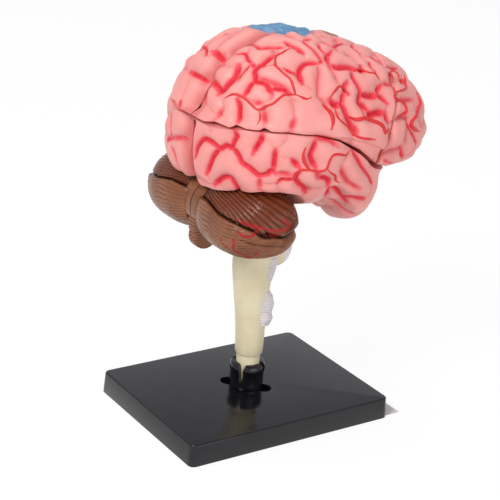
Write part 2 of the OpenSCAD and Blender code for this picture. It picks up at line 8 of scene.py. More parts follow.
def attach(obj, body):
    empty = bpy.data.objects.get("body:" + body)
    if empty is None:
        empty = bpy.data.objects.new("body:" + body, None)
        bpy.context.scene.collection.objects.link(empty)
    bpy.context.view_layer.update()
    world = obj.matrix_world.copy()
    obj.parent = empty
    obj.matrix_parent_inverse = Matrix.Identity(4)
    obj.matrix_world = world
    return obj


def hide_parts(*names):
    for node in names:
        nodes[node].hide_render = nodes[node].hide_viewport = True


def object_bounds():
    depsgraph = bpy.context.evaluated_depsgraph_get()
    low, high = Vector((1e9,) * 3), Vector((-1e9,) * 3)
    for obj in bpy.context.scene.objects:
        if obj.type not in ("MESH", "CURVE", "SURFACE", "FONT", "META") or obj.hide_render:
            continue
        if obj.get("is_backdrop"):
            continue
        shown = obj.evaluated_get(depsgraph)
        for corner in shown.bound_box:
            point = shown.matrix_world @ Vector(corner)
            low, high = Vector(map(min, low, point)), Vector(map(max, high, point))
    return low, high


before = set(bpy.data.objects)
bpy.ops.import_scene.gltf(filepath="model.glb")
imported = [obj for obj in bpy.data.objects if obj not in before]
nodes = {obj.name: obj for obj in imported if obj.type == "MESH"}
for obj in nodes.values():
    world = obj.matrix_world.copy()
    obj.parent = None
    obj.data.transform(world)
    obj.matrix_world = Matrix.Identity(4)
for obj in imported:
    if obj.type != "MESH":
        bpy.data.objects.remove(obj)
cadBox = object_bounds()
bpy.ops.object.select_all(action="DESELECT")
mm = 0.001
print("frame loaded:", len(nodes), "nodes")


# Small helpers
def pick(obj):
    bpy.ops.object.select_all(action="DESELECT")
    obj.select_set(True)
    bpy.context.view_layer.objects.active = obj
    return obj


def coords(obj):
    co = np.zeros(len(obj.data.vertices) * 3)
    obj.data.vertices.foreach_get("co", co)
    return co.reshape(-1, 3)


def setCoords(obj, co):
    obj.data.vertices.foreach_set("co", np.asarray(co, float).ravel())
    obj.data.update()


def selectVertices(obj, wanted):
    # picks vertices by index or mask and leaves the piece in edit mode
    pick(obj)
    bpy.ops.object.mode_set(mode="EDIT")
    bpy.ops.mesh.select_mode(type="VERT")
    bpy.ops.mesh.select_all(action="DESELECT")
    bpy.ops.object.mode_set(mode="OBJECT")
    mask = np.zeros(len(obj.data.vertices), bool)
    mask[wanted] = True
    obj.data.vertices.foreach_set("select", mask)
    bpy.ops.object.mode_set(mode="EDIT")


def applyModifier(obj, kind, **settings):
    pick(obj)
    mod = obj.modifiers.new(kind.title(), kind)
    for key, value in settings.items():
        setattr(mod, key, value)
    bpy.ops.object.modifier_apply(modifier=mod.name)


def cutOrAdd(obj, tool, operation):
    applyModifier(obj, "BOOLEAN", object=tool, operation=operation, solver="MANIFOLD")
    bpy.data.objects.remove(tool)


def setFloat(obj, name, values):
    layer = obj.data.attributes.get(name) or obj.data.attributes.new(name, "FLOAT", "POINT")
    layer.data.foreach_set("value", np.asarray(values, np.float32))


def gridPiece(name, points):
    # a grid whose vertices take the given places, an array of columns of rows
    cols, rows = points.shape[:2]
    bpy.ops.mesh.primitive_grid_add(x_subdivisions=rows - 1, y_subdivisions=cols - 1, size=2)
    obj = bpy.context.object
    obj.name = name
    setCoords(obj, points.reshape(-1, 3))
    return obj


def weld(obj, distance=0.002):
    # joins the edges on which a bent grid meets itself and closes what stays open
    pick(obj)
    bpy.ops.object.mode_set(mode="EDIT")
    bpy.ops.mesh.select_all(action="SELECT")
    bpy.ops.mesh.remove_doubles(threshold=distance)
    bpy.ops.mesh.select_all(action="SELECT")
    bpy.ops.mesh.fill_holes(sides=0)
    bpy.ops.mesh.select_all(action="SELECT")
    bpy.ops.mesh.normals_make_consistent(inside=False)
    bpy.ops.object.mode_set(mode="OBJECT")


def circle(x, y, r, count):
    turns = [2 * math.pi * k / count for k in range(count)]
    return [(x + r * math.cos(a), y + r * math.sin(a)) for a in turns]


def prism(name, outline, low, high, axis="Y"):
    # an outline given a thickness: the face of a circle's corners, moved and extruded along the axis
    bpy.ops.mesh.primitive_circle_add(vertices=len(outline), fill_type="NGON")
    obj = bpy.context.object
    obj.name = name
    setCoords(obj, [(a, low, b) if axis == "Y" else (a, b, low) for a, b in outline])
    bpy.ops.object.mode_set(mode="EDIT")
    bpy.ops.mesh.select_all(action="SELECT")
    step = (0, high - low, 0) if axis == "Y" else (0, 0, high - low)
    bpy.ops.mesh.extrude_region_move(TRANSFORM_OT_translate={"value": step})
    bpy.ops.mesh.select_all(action="SELECT")
    bpy.ops.mesh.normals_make_consistent(inside=False)
    bpy.ops.object.mode_set(mode="OBJECT")
    return obj


def settle(obj, side=1, shift=(0, 0, 0), smooth=40):
    # mirrors a piece built in mm to its side, moves it to its place and turns it to metres
    co = coords(obj)
    co[:, 1] *= side
    setCoords(obj, (co + shift) * mm)
    pick(obj)
    if side < 0:
        bpy.ops.object.mode_set(mode="EDIT")
        bpy.ops.mesh.select_all(action="SELECT")
        bpy.ops.mesh.flip_normals()
        bpy.ops.object.mode_set(mode="OBJECT")
    bpy.ops.object.shade_smooth_by_angle(angle=math.radians(smooth))
    return obj


def dress(obj, body, node=None):
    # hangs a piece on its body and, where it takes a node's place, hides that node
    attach(obj, body)
    if node:
        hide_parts(node)


def smoothStep(low, high, x):
    t = np.clip((x - low) / (high - low), 0, 1)
    return t * t * (3 - 2 * t)


def wobble(p, scale, seed):
    # smooth bounded noise from a few sines, the same on every run
    rng = np.random.default_rng(seed)
    total = np.zeros(len(p))
    for k in range(6):
        way = rng.normal(size=3)
        way /= np.linalg.norm(way)
        total += np.sin(p @ way * (0.7 + 0.25 * k) * 2 * math.pi / scale + rng.uniform(0, 6.28))
    return total / 6


# The cerebrum's skin
brain = {
    "centre": (-0.7, 0.0, 109.0),
    "halfWidth": 40.0,
    "fullness": 2.3,
    "outline": [(-40, 35), (-25, 31), (-16, 36.5), (-8, 49.5), (5, 53.5), (22, 49.5), (42, 42.5), (65, 37),
                (90, 37), (115, 39), (140, 42), (160, 41.5), (180, 42.5), (200, 42), (218, 33), (236, 27.5),
                (256, 24), (278, 25), (300, 38)],
    "cortexWall": 14.0,
    "coreHalfWidth": 17.5,
    "coreDrop": 11.0,
    "insula": (-3, 4, 13, 8.5, 2.6),
    "pin": (1.3, 7, 2),
    "partGap": 0.35,
    "seam": 0.6,
    "sylvian": [(-40.4, 8.4), (-34, 10), (-24, 10.3), (-14, 9.6), (-5, 7.3), (4, 3), (13, -3.5), (24, -8),
                (32.5, -10.6)],
    "poleKnot": 6,
    "poleAngle": 47.0,
    "backAngle": 167.5,
    "frontAngle": -17.5,
    "temporalGap": 13.0,
    "fissure": (3.3, 5.8),
    "unevenness": 0.35,
    "edgeRound": (0.95, 1.7),
    "lip": {"height": 5.4, "depth": 1.3, "share": 0.42},
    "wedge": {"width": 1.6, "middle": 0.72, "reach": 0.22},
    "chips": [(-35.4, 1.0, 1.6), (-29.1, 0.9, 1.5), (-39.0, 1.2, 2.2)],
}
knotAngle = np.array([a for a, r in brain["outline"]], float)
knotReach = np.array([r for a, r in brain["outline"]], float)
knotAngle3 = np.concatenate([knotAngle - 360, knotAngle, knotAngle + 360])
knotReach3 = np.tile(knotReach, 3)
knotRise = np.roll(knotReach3, -1) - np.roll(knotReach3, 1)
knotSlope = knotRise / (np.roll(knotAngle3, -1) - np.roll(knotAngle3, 1))


def rim(angle):
    a = (np.asarray(angle, float) + 40) % 360 - 40
    i = np.searchsorted(knotAngle3, a, side="right") - 1
    w = knotAngle3[i + 1] - knotAngle3[i]
    t = (a - knotAngle3[i]) / w
    return (knotReach3[i] * (2 * t**3 - 3 * t**2 + 1) + knotReach3[i + 1] * (3 * t**2 - 2 * t**3)
            + w * (knotSlope[i] * (t**3 - 2 * t**2 + t) + knotSlope[i + 1] * (t**3 - t**2)))


def skinY(u, w):
    share = np.hypot(u, w) / rim(np.degrees(np.arctan2(w, u)))
    n = brain["fullness"]
    return brain["halfWidth"] * np.maximum(0, 1 - share**n) ** (1 / n)


def skinAt(turn, height):
    # point of the smooth skin seen from the brain's centre, turn from the front and height, in degrees
    t, h = np.radians(turn), np.radians(height)
    d = np.stack([np.cos(h) * np.cos(t), np.cos(h) * np.sin(t), np.sin(h)], -1)
    n = brain["fullness"]
    inPlane = np.hypot(d[..., 0], d[..., 2]) / rim(np.degrees(np.arctan2(d[..., 2], d[..., 0])))
    share = inPlane**n + (np.abs(d[..., 1]) / brain["halfWidth"]) ** n
    return d / share[..., None] ** (1 / n)


def outward(p):
    n = brain["fullness"]
    r = np.maximum(0.01, np.hypot(p[:, 0], p[:, 2]))
    s = rim(np.degrees(np.arctan2(p[:, 2], p[:, 0])))
    k = (r / s) ** (n - 1) / s / r
    across = (np.abs(p[:, 1]) / brain["halfWidth"]) ** (n - 1) / brain["halfWidth"]
    g = np.stack([p[:, 0] * k, across, p[:, 2] * k], -1)
    return g / np.linalg.norm(g, axis=1)[:, None]


# Furrows of the cortex: lines of (turn, height) in degrees, seen from the middle of the brain
carving = {
    # kind: half width, depth, strength of the crimson paint, reach of the paint; for bare creases and bridges
    # the paint strength is painted shade in the crease
    "wide": (5.0, 2.9, 1.0, 2.3),
    "deep": (5.0, 2.8, 1.0, 1.7),
    "fine": (4.4, 2.3, 1.0, 1.15),
    "soft": (4.8, 2.3, 0.62, 1.9),
    # bare creases and bridges carry no paint on the object: their paint strength is painted shade
    "bare": (4.6, 2.5, 0.3, 1.2),
    "bridge": (4.4, 1.5, 0.12, 1.2),
}
furrows = {
    "wide": [
        [(177, 31), (171, 30), (165, 28), (162, 32), (160, 35), (160, 39), (162, 42)],
        [(94, 49), (89, 48), (83, 48), (77, 47), (72, 45)],
        [(103, 30), (100, 28), (96, 28)],
        [(90, 17), (88, 14)],
        [(80, 32), (76, 31), (72, 30), (67, 29)],
        [(78, 23), (77, 21), (72, 21), (67, 20)],
        [(109, -5), (108, -7)],
        [(84, -27), (81, -29)],
    ],
    "deep": [
        [(165, 28), (166, 26)],
        [(163, 57), (157, 57), (151, 59), (145, 60), (138, 60)],
        [(153, 26), (151, 23), (150, 19), (149, 16)],
        [(142, 53), (144, 50), (146, 46), (148, 44), (149, 41), (147, 38), (146, 36), (142, 36),
         (139, 35), (137, 33), (135, 31)],
        [(154, 45), (150, 43)],
        [(146, 36), (148, 34), (149, 31), (150, 28)],
        [(136, 33), (134, 34), (132, 34), (129, 34), (126, 32)],
        [(136, 65), (127, 63), (121, 61), (117, 57)],
        [(108, 70), (100, 72)],
        [(89, 58), (94, 55), (96, 51)],
        [(105, 51), (110, 51), (116, 50), (120, 47), (121, 44), (120, 41), (119, 38)],
        [(72, 45), (66, 44), (63, 47)],
        [(88, 39), (91, 36), (90, 33)],
        [(93, 34), (94, 31), (95, 28), (94, 25), (93, 22), (91, 18), (89, 14)],
        [(37, 55), (43, 53)],
        [(80, 44), (80, 40), (79, 36), (79, 33), (81, 31), (83, 28), (80, 26), (78, 23)],
        [(67, 29), (64, 27), (63, 24)],
        [(60, 33), (65, 31), (66, 29)],
        [(67, 20), (66, 18), (66, 15)],
        [(40, 28), (33, 27)],
        [(39, 46), (39, 43), (40, 40)],
        [(57, 1), (55, -2), (53, -4)],
        [(172, -6), (172, -3), (170, 1), (167, 4), (163, 4), (160, 3), (157, 2), (154, 4), (151, 4),
         (150, 7), (149, 10), (149, 12)],
        [(157, 2), (160, -2), (162, -7), (164, -12)],
        [(150, 4), (147, 1), (145, -2), (141, -4), (138, -6), (136, -7), (133, -6), (131, -4),
         (129, -5)],
        [(160, -17), (156, -13), (153, -11), (150, -11), (148, -14), (147, -17), (148, -24)],
        [(130, 6), (130, 3), (130, -1), (130, -4)],
        [(136, 12), (137, 10), (139, 6), (140, 3)],
        [(122, 2), (120, 0), (118, -2)],
        [(118, -4), (119, -6), (119, -8), (117, -11), (115, -13), (113, -18)],
        [(111, 11), (112, 7), (113, 4), (112, 1), (110, -2)],
        [(108, -7), (105, -8), (102, -10), (101, -14)],
        [(100, -16), (95, -18), (88, -24), (84, -27), (82, -25), (79, -24), (72, -25)],
        [(4, 50), (13, 45), (12, 37), (20, 31)],
        [(1, 22), (8, 24), (16, 20), (24, 22)],
        [(3, 8), (13, 12), (22, 6), (30, 8)],
        [(178, 6), (179, -2), (176, -12), (178, -20)],
    ],
    "fine": [
        [(173, 59), (163, 57)],
        [(172, 48), (165, 50), (159, 47), (154, 45)],
        [(113, 69), (109, 65), (104, 61), (102, 57), (101, 53), (105, 51)],
        [(93, 66), (94, 62), (92, 59), (89, 58), (82, 60)],
        [(81, 68), (74, 66), (72, 63), (72, 61)],
        [(72, 63), (52, 64), (35, 62)],
        [(131, 45), (127, 44), (123, 43), (121, 40)],
        [(25, 56), (40, 55), (44, 52)],
        [(50, 46), (53, 43), (55, 40)],
        [(37, 38), (33, 35), (25, 31)],
        [(51, 14), (51, 11), (49, 7), (46, 4), (43, 0)],
        [(68, -3), (58, -7)],
        [(128, -10), (126, -8), (124, -8), (119, -8)],
        [(100, -16), (99, -19), (97, -26)],
        [(90, 5), (86, 0), (82, -5), (75, -11), (69, -17)],
    ],
    "soft": [
        [(176, 41), (173, 40)],
        [(177, 22), (173, 20)],
        [(160, 20), (161, 18), (162, 15)],
        [(135, 31), (135, 29)],
        [(145, 38), (139, 37), (133, 36), (127, 34)],
        [(144, 26), (141, 26), (139, 26)],
        [(138, 23), (137, 20), (136, 17)],
        [(122, 21), (123, 18), (123, 15)],
        [(58, 33), (54, 32), (50, 30)],
        [(30, 45), (28, 43)],
        [(50, 23), (47, 21), (40, 19)],
        [(129, -5), (125, -5), (121, -6)],
        [(136, -7), (136, -10), (136, -14)],
        [(115, -13), (111, -15)],
        [(126, -19), (122, -26), (118, -36)],
        [(96, -3), (94, -7), (89, -13), (85, -15), (81, -17)],
        [(111, 12), (104, 11), (99, 8)],
        [(90, -34), (76, -38), (64, -40)],
        [(6, -4), (16, -5), (26, -2), (32, -8)],
        [(170, -30), (158, -34), (146, -32), (132, -36), (118, -34)],
        [(168, -45), (150, -48), (130, -46), (112, -50), (96, -44)],
        [(140, -60), (110, -64), (80, -58)],
        [(30, 66), (44, 66), (50, 74)],
    ],
    "bare": [
        [(172, 79), (150, 77), (128, 72)],
        [(146, 87), (105, 80), (99, 76)],
        [(14, 84), (50, 79), (66, 74)],
        [(147, 59), (143, 56), (141, 54)],
        [(154, 45), (156, 40), (157, 37), (158, 33)],
        [(166, 54), (164, 51), (164, 50)],
        [(106, 50), (106, 46), (108, 41), (109, 36), (109, 32), (107, 30), (105, 27), (104, 25)],
        [(97, 51), (95, 48), (94, 45), (94, 41), (94, 38)],
        [(44, 52), (47, 49), (50, 46)],
        [(69, 56), (62, 54), (62, 50), (63, 47)],
        [(38, 35), (44, 33), (51, 31)],
        [(33, 42), (40, 40)],
        [(71, 0), (65, 1), (60, 1), (55, 2)],
        [(61, 15), (57, 15), (52, 14), (51, 11), (53, 6), (55, 3)],
        [(41, 12), (39, 9), (37, 5)],
        [(49, -62), (69, -52), (75, -43)],
    ],
}
# A ledge: the gyrus below this line stands a little lower than the one above
ledge = {
    "drop": 0.6,
    "line": [(142, 22), (139, 24), (135, 25), (131, 27), (128, 30), (125, 30), (120, 29), (115, 28),
             (110, 27), (106, 24), (104, 21)],
}
# The left hemisphere has its own furrows at the back; elsewhere it mirrors the right one
leftBack = 152
leftFurrows = {
    "wide": [[(166, 44), (173, 44), (179, 43)]],
    "deep": [
        [(161, 29), (170, 30), (178, 30)],
        [(160, 6), (161, 2), (162, -1), (163, -4)],
        [(154, -8), (167, -3)],
        [(167, 15), (169, 13)],
    ],
    "fine": [[(141, 40), (155, 42), (165, 40)]],
    "soft": [
        [(167, -3), (174, -1), (178, -1)],
        [(169, -16), (168, -11), (166, -8)],
        [(170, -30), (158, -34), (146, -32), (132, -36)],
    ],
    "bare": [
        [(171, 12), (176, 13)],
        [(150, 60), (160, 52), (166, 44)],
        [(168, 77), (150, 71), (136, 68)],
        [(100, 87), (98, 76), (100, 66)],
        [(150, 84), (128, 76), (118, 66)],
        [(30, 80), (60, 72), (70, 62)],
        [(10, 72), (32, 66), (48, 58)],
    ],
}


def linesOf(kind, side):
    if side < 0:
        return furrows[kind]
    mirrored = [line for line in furrows[kind] if max(turn for turn, height in line) < leftBack]
    return mirrored + leftFurrows[kind]


def rounded(line, step):
    # Catmull-Rom curve through the line's points, resampled about every step
    p = np.asarray(line, float)
    p = np.vstack([2 * p[0] - p[1], p, 2 * p[-1] - p[-2]])
    out = []
    for k in range(1, len(p) - 2):
        count = max(2, int(np.linalg.norm(p[k + 1] - p[k]) / step))
        t = (np.arange(count) / count)[:, None]
        before, here, ahead, beyond = p[k - 1:k + 3]
        second = 2 * before - 5 * here + 4 * ahead - beyond
        third = 3 * here - before - 3 * ahead + beyond
        out.append(0.5 * (2 * here + (ahead - before) * t + second * t**2 + third * t**3))
    return np.vstack(out + [p[-2][None]])


def bridges(paths):
    # unpainted valleys that carry on from the end of one furrow to the nearest furrow ahead of it
    out = []
    for i, path in enumerate(paths):
        rest = np.vstack([q for j, q in enumerate(paths) if j != i])
        for end, before in ((path[0], path[min(4, len(path) - 1)]), (path[-1], path[-min(5, len(path))])):
            ahead = (end - before) / np.linalg.norm(end - before)
            step = rest - end
            far = np.linalg.norm(step, axis=1)
            if far.min() < 1.5:
                continue
            fits = (far < 12) & (step @ ahead > 0.4 * far)
            if fits.any():
                goal = rest[fits][far[fits].argmin()]
                middle = (end + goal) / 2 + 0.15 * far[fits].min() * ahead
                out.append(rounded([end, middle, goal], 0.5))
    return out


def grooveSamples(side):
    # points along every furrow with its half width, depth, paint (painted shade along bare creases and
    # bridges) and reach of the paint
    rows = []
    paths = []
    for kind in furrows:
        halfWidth, depth, paint_and_shade, paintWidth = carving[kind]
        for line in linesOf(kind, side):
            p = rounded(skinAt(*np.array(line, float).T), 0.5)
            run = np.concatenate([[0], np.cumsum(np.linalg.norm(np.diff(p, axis=0), axis=1))])
            taper = 0.5 + 0.5 * smoothStep(0, 2.0, np.minimum(run, run[-1] - run))
            same = np.ones(len(p))
            rows.append(np.column_stack(
                [p, halfWidth * same, depth * taper, paint_and_shade * (0.3 + 0.7 * taper), paintWidth * same]))
            paths.append(p)
    # bridges take the bridge row, whose paint strength is painted shade in the valley
    for p in bridges(paths):
        rows.append(np.column_stack([p, np.tile(carving["bridge"], (len(p), 1))]))
    return np.vstack(rows)


grooveSample = {side: grooveSamples(side) for side in (-1, 1)}


def pillow(t):
    # cross section from the crease of a furrow, 1 deep, to the top of the full gyrus beside it
    return 0.6 * (1 - t) ** 1.6 + 0.4 * (1 - np.sqrt(1 - (1 - t) ** 2))


def groove(p, side):
    # depth of the carving and strength of the paint, with the painted shade of bare creases and bridges, at
    # points of the smooth skin
    s = grooveSample[side]
    depth = np.zeros(len(p))
    paint_and_shade = np.zeros(len(p))
    cell = np.floor(p / 8).astype(int)
    order = np.lexsort(cell.T)
    edges = np.flatnonzero(np.any(np.diff(cell[order], axis=0), axis=1)) + 1
    for part in np.split(order, edges):
        q = p[part]
        close = s[np.all((s[:, :3] > q.min(0) - 5) & (s[:, :3] < q.max(0) + 5), axis=1)]
        if not len(close):
            continue
        d = np.linalg.norm(q[:, None] - close[None, :, :3], axis=2)
        depth[part] = (close[:, 4] * pillow(np.clip(d / close[:, 3], 0, 1))).max(1)
        paint_and_shade[part] = (close[:, 5] * (1 - np.clip(d / close[:, 6], 0, 1) ** 2) ** 2).max(1)
    step = rounded(skinAt(*np.array(ledge["line"], float).T), 0.5)
    d = np.linalg.norm(p[:, None] - step[None], axis=2)
    below = step[d.argmin(1), 2] - p[:, 2]
    ends = smoothStep(0, 8, np.minimum(d.argmin(1), len(step) - 1 - d.argmin(1)))
    lower = ledge["drop"] * smoothStep(-0.4, 0.4, below) * (1 - smoothStep(1, 7, d.min(1))) * ends
    return depth + lower, paint_and_shade


# Cortex pieces
def along(line, t):
    line = np.asarray(line, float)
    s = t * (len(line) - 1)
    i = min(len(line) - 2, int(s))
    return line[i] + (line[i + 1] - line[i]) * (s - i)


def rimPoint(angle, inner):
    n = brain["fullness"]
    r = rim(angle) * (1 - (inner / brain["halfWidth"]) ** n) ** (1 / n)
    return np.array([r * math.cos(math.radians(angle)), r * math.sin(math.radians(angle))])


cortex = {
    "frontoparietal": {"cols": 270, "rows": 190, "pins": [(-17, 13.5), (13, 15)]},
    "frontal_pole": {"cols": 170, "rows": 130, "pins": [(30, 6)]},
    "temporal": {"cols": 300, "rows": 150, "pins": [(-20, -1), (9, -7)]},
}


def columnEnds(kind):
    # outline point, cut point, inner side and height of the recessed band of every column of a piece
    b, size = brain, cortex[kind]
    half = b["partGap"] / 2
    cut = b["sylvian"]
    out = []
    for i in range(size["cols"] + 1):
        t = i / size["cols"]
        if kind == "frontoparietal":
            line = cut[:b["poleKnot"] + 1]
            stop = along(line, 1 - t)
            for place, rise, width in b["chips"]:
                stop = stop + np.array([0, rise * max(0, 1 - abs(stop[0] - place) / width)])
            angle = b["poleAngle"] + (b["backAngle"] - b["poleAngle"]) * t
            band = b["lip"]["height"] * max(0, 1 - t / b["lip"]["share"])
            out.append((rimPoint(angle, half), stop, half, band))
        elif kind == "frontal_pole":
            top = rimPoint(b["poleAngle"], 0)
            start = np.array(cut[b["poleKnot"]], float)
            seam = (top - start) / np.linalg.norm(top - start)
            off = b["partGap"] * np.array([seam[1], -seam[0]])
            endAngle = b["poleAngle"] - math.degrees(math.atan(b["partGap"] / np.linalg.norm(top)))
            angle = endAngle + (b["frontAngle"] + 1 - endAngle) * t
            out.append((rimPoint(angle, half), along(cut[b["poleKnot"]:], t) + off * (1 - t), half, 0))
        else:
            inner = half + (b["temporalGap"] - half) * float(np.clip((t - 0.2) / 0.08, 0, 1))
            angle = b["backAngle"] + 0.8 + (b["frontAngle"] + 359.2 - b["backAngle"] - 0.8) * t
            wedge = b["wedge"]["width"] * max(0, 1 - abs(t - b["wedge"]["middle"]) / b["wedge"]["reach"])
            out.append((rimPoint(angle, inner), along(cut, t) - np.array([0, b["seam"] + wedge]), inner, 0))
    return out


def softened(values, reach):
    # the values of a grid blurred along both of its directions
    kernel = np.exp(-0.5 * (np.arange(-2 * reach, 2 * reach + 1) / reach) ** 2)
    kernel /= kernel.sum()
    for axis in (0, 1):
        values = np.apply_along_axis(
            lambda v: np.convolve(np.pad(v, 2 * reach, mode="edge"), kernel, mode="valid"), axis, values)
    return values


def carvedColumns(kind, side):
    b, size = brain, cortex[kind]
    rows, ends = size["rows"], columnEnds(kind)
    share = 1 - np.cos(np.radians(90 * np.arange(rows + 1) / rows)) ** 0.87
    start = np.array([e[0] for e in ends])[:, None]
    stop = np.array([e[1] for e in ends])[:, None]
    inner = np.repeat(np.array([e[2] for e in ends])[:, None], rows + 1, 1)
    band = np.array([e[3] for e in ends])[:, None]
    q = start + (stop - start) * share[None, :, None]
    y = np.maximum(inner, skinY(q[..., 0], q[..., 1]))
    flat = np.stack([q[..., 0], y, q[..., 1]], -1).reshape(-1, 3)
    depth, paint_and_shade = groove(flat, side)
    # the tops of the gyri are round, while the creases between them stay crisp
    blurred = softened(depth.reshape(len(ends), rows + 1), 3).reshape(-1)
    crisp = smoothStep(0.5, 1.5, depth)
    depth = depth * crisp + blurred * (1 - crisp)
    bottom, width = b["fissure"]
    fissure = bottom * np.clip(1 - np.abs(flat[:, 1]) / width, 0, 1) ** 1.7
    depth = depth + b["unevenness"] * wobble(flat, 15, 5) + fissure
    toCut = np.linalg.norm(q - stop, axis=2)
    toEnd = np.minimum(np.linalg.norm(q - q[:1], axis=2), np.linalg.norm(q - q[-1:], axis=2))
    # edges of the piece are rounded a little
    toSeam = np.minimum(toCut, toEnd).reshape(-1)
    fall, reach = b["edgeRound"]
    depth = depth + fall * np.clip(1 - toSeam / reach, 0, 1) ** 2
    # near a seam the surface keeps to the seam's own plane, so that the seam stays straight across
    way = outward(flat)
    run = (stop - start) / np.maximum(0.01, np.linalg.norm(stop - start, axis=2, keepdims=True))
    run = np.repeat(np.stack([run[..., 0], run[..., 0] * 0, run[..., 1]], -1), rows + 1, 1).reshape(-1, 3)
    inPlane = run * (way * run).sum(1)[:, None] + way * [0, 1, 0]
    free = smoothStep(0, 2.5, toEnd).reshape(-1, 1)
    way = way * free + inPlane * (1 - free)
    free = smoothStep(0, 2.5, toCut).reshape(-1, 1)
    way = way * free + 0.85 * way * [0, 1, 0] * (1 - free)
    lip = b["lip"]["depth"] * smoothStep(0, 1.5, band) * (1 - smoothStep(-0.35, 0.35, toCut - band))
    flat = flat - depth[:, None] * way
    flat[:, 1] = np.maximum(flat[:, 1] - lip.reshape(-1), inner.reshape(-1))
    atRim = (np.arange(rows + 1) == 0)[None].repeat(len(ends), 0).reshape(-1)
    flat[atRim, 1] = inner.reshape(-1)[atRim]
    return flat, paint_and_shade, inner[:, 0], depth


def coreReach(angle, grow):
    r = rim(angle) - brain["cortexWall"] + grow
    s = math.sin(math.radians(angle))
    return min(r, (brain["coreDrop"] + grow) / -s) if s < -1e-6 else r


# Painted areas on top of both halves: colour, middle along and across, half length, half width
colourFields = {
    1: {"blue": (0.8, 9.0, 14.5, 9.5), "brown": (24.5, 9.0, 11.5, 9.5)},
    -1: {"blue": (-0.5, 1.0, 5.5, 7.5), "brown": (15.5, 0.0, 9.5, 5.0)},
}


def field(p, side, name):
    u, y, halfLength, halfWidth = colourFields[side][name]
    d = np.hypot((p[:, 0] - u) / halfLength, (np.abs(p[:, 1]) - y) / halfWidth) + 0.12 * wobble(p, 14, 9)
    return (1 - smoothStep(0.9, 1.0, d)) * (p[:, 2] > 20)


def cortexPiece(kind, side):
    size = cortex[kind]
    skin, paint_and_shade, inner, depth = carvedColumns(kind, side)
    rows, cols = size["rows"], size["cols"]
    obj = gridPiece(f"carved_{kind}_{'left' if side > 0 else 'right'}", skin.reshape(cols + 1, rows + 1, 3))
    setFloat(obj, "paint_and_shade", paint_and_shade)
    # the carved depth is kept for the finish, which paints shade into the creases, the fissure and the
    # rounded seams
    setFloat(obj, "hollow", depth / 3)
    setFloat(obj, "blue", field(skin, side, "blue"))
    setFloat(obj, "brown", field(skin, side, "brown"))
    # wall in from the cut line, flat inner side across to the rim, and the two end walls
    cutRow = np.arange(cols + 1) * (rows + 1) + rows
    count = len(skin)
    selectVertices(obj, cutRow)
    bpy.ops.mesh.extrude_region_move(TRANSFORM_OT_translate={"value": (0, 0, 0)})
    bpy.ops.object.mode_set(mode="OBJECT")
    co = coords(obj)
    gap = np.linalg.norm(co[count:, None, ::2] - skin[None, cutRow][:, :, ::2], axis=2)
    co[count:, 1] = inner[gap.argmin(1)]
    setCoords(obj, co)
    selectVertices(obj, np.concatenate([np.arange(cols + 1) * (rows + 1), np.arange(count, len(co))]))
    bpy.ops.mesh.select_mode(type="EDGE")
    bpy.ops.mesh.bridge_edge_loops()
    bpy.ops.mesh.select_all(action="SELECT")
    bpy.ops.mesh.fill_holes(sides=0)
    bpy.ops.mesh.select_all(action="SELECT")
    bpy.ops.mesh.normals_make_consistent(inside=False)
    bpy.ops.object.mode_set(mode="OBJECT")
    # hollows for the white matter, the insula and the cerebellum, and the pegs
    g = brain["partGap"]
    core = []
    for degrees in range(0, 360, 8):
        reach = coreReach(degrees, g)
        core.append((reach * math.cos(math.radians(degrees)), reach * math.sin(math.radians(degrees))))
    cutOrAdd(obj, prism("hollow", core, -1, brain["coreHalfWidth"] + g), "DIFFERENCE")
    u, w, length, height, thick = brain["insula"]
    island = [(u + (length + g) * c, w + (height + g) * s) for c, s in circle(0, 0, 1, 32)]
    cutOrAdd(obj, prism("hollow", island, 0, brain["coreHalfWidth"] + thick + 2 * g), "DIFFERENCE")
    if kind == "temporal":
        c = cerebellum
        u, w = c["centre"][0] - brain["centre"][0], c["centre"][2] - brain["centre"][2]
        more = c["folia"] + c["unevenness"] + g
        channel = [(u + ((c["shortFront"] if x > 0 else c["halfLength"]) + more) * x,
                    w + (c["halfHeight"] + more) * z)
                   for x, z in superCircle(np.radians(np.arange(0, 360, 7.5)))]
        cutOrAdd(obj, prism("channel", channel, -1, brain["halfWidth"] + 1), "DIFFERENCE")
    radius, into, out = brain["pin"]
    wall = brain["coreHalfWidth"]
    for u, w in size["pins"]:
        cutOrAdd(obj, prism("pin", circle(u, w, radius, 24), wall - into, wall + out), "UNION")
    return settle(obj, side, brain["centre"], 48)


cerebellum = {
    "centre": (-25.0, 16.4, 84.3),
    "halfLength": 17.2,
    "halfHeight": 12.9,
    "halfWidth": 20.1,
    "full": 2.3,
    "inner": 3.35,
    "front": -17.25,
    "frontWidth": 11.4,
    "shortFront": 14.0,
    "folia": 0.38,
    "unevenness": 0.15,
    "lowerFolia": 30,
    "upperFolia": 128.0,
    "fan": {"from": (-33.7, -19.7, 102.0), "axis": (0.506, -0.81, -0.297)},
    "fissure": [(3, 150), (11, 151), (21, 161), (30, 164), (34, 169), (36.5, 190)],
    "fissureDepth": 1.7,
    "fissureWidth": 1.25,
    "overhang": 0.9,
    "midline": {"share": 0.985, "gap": 0.25},
    "fissureFront": [(-30.5, -35.7, 84.9), (-27.8, -36.2, 84.0), (-24.0, -36.4, 83.2), (-19.0, -35.4, 83.0),
                     (-14.0, -33.0, 83.2), (-10.5, -29.0, 83.6), (-8.5, -23.0, 84.2), (-7.8, -16.0, 84.6)],
    "secondLine": [(-37.8, -31.0, 82.4), (-34.9, -33.4, 81.4), (-30.5, -35.4, 80.7), (-22.7, -35.5, 79.6)],
    "rows": 200,
    "cols": 300,
}


def superCircle(angles):
    c, s = np.cos(angles), np.sin(angles)
    power = 2 / cerebellum["full"]
    return np.stack([np.sign(c) * np.abs(c) ** power, np.sign(s) * np.abs(s) ** power], -1)


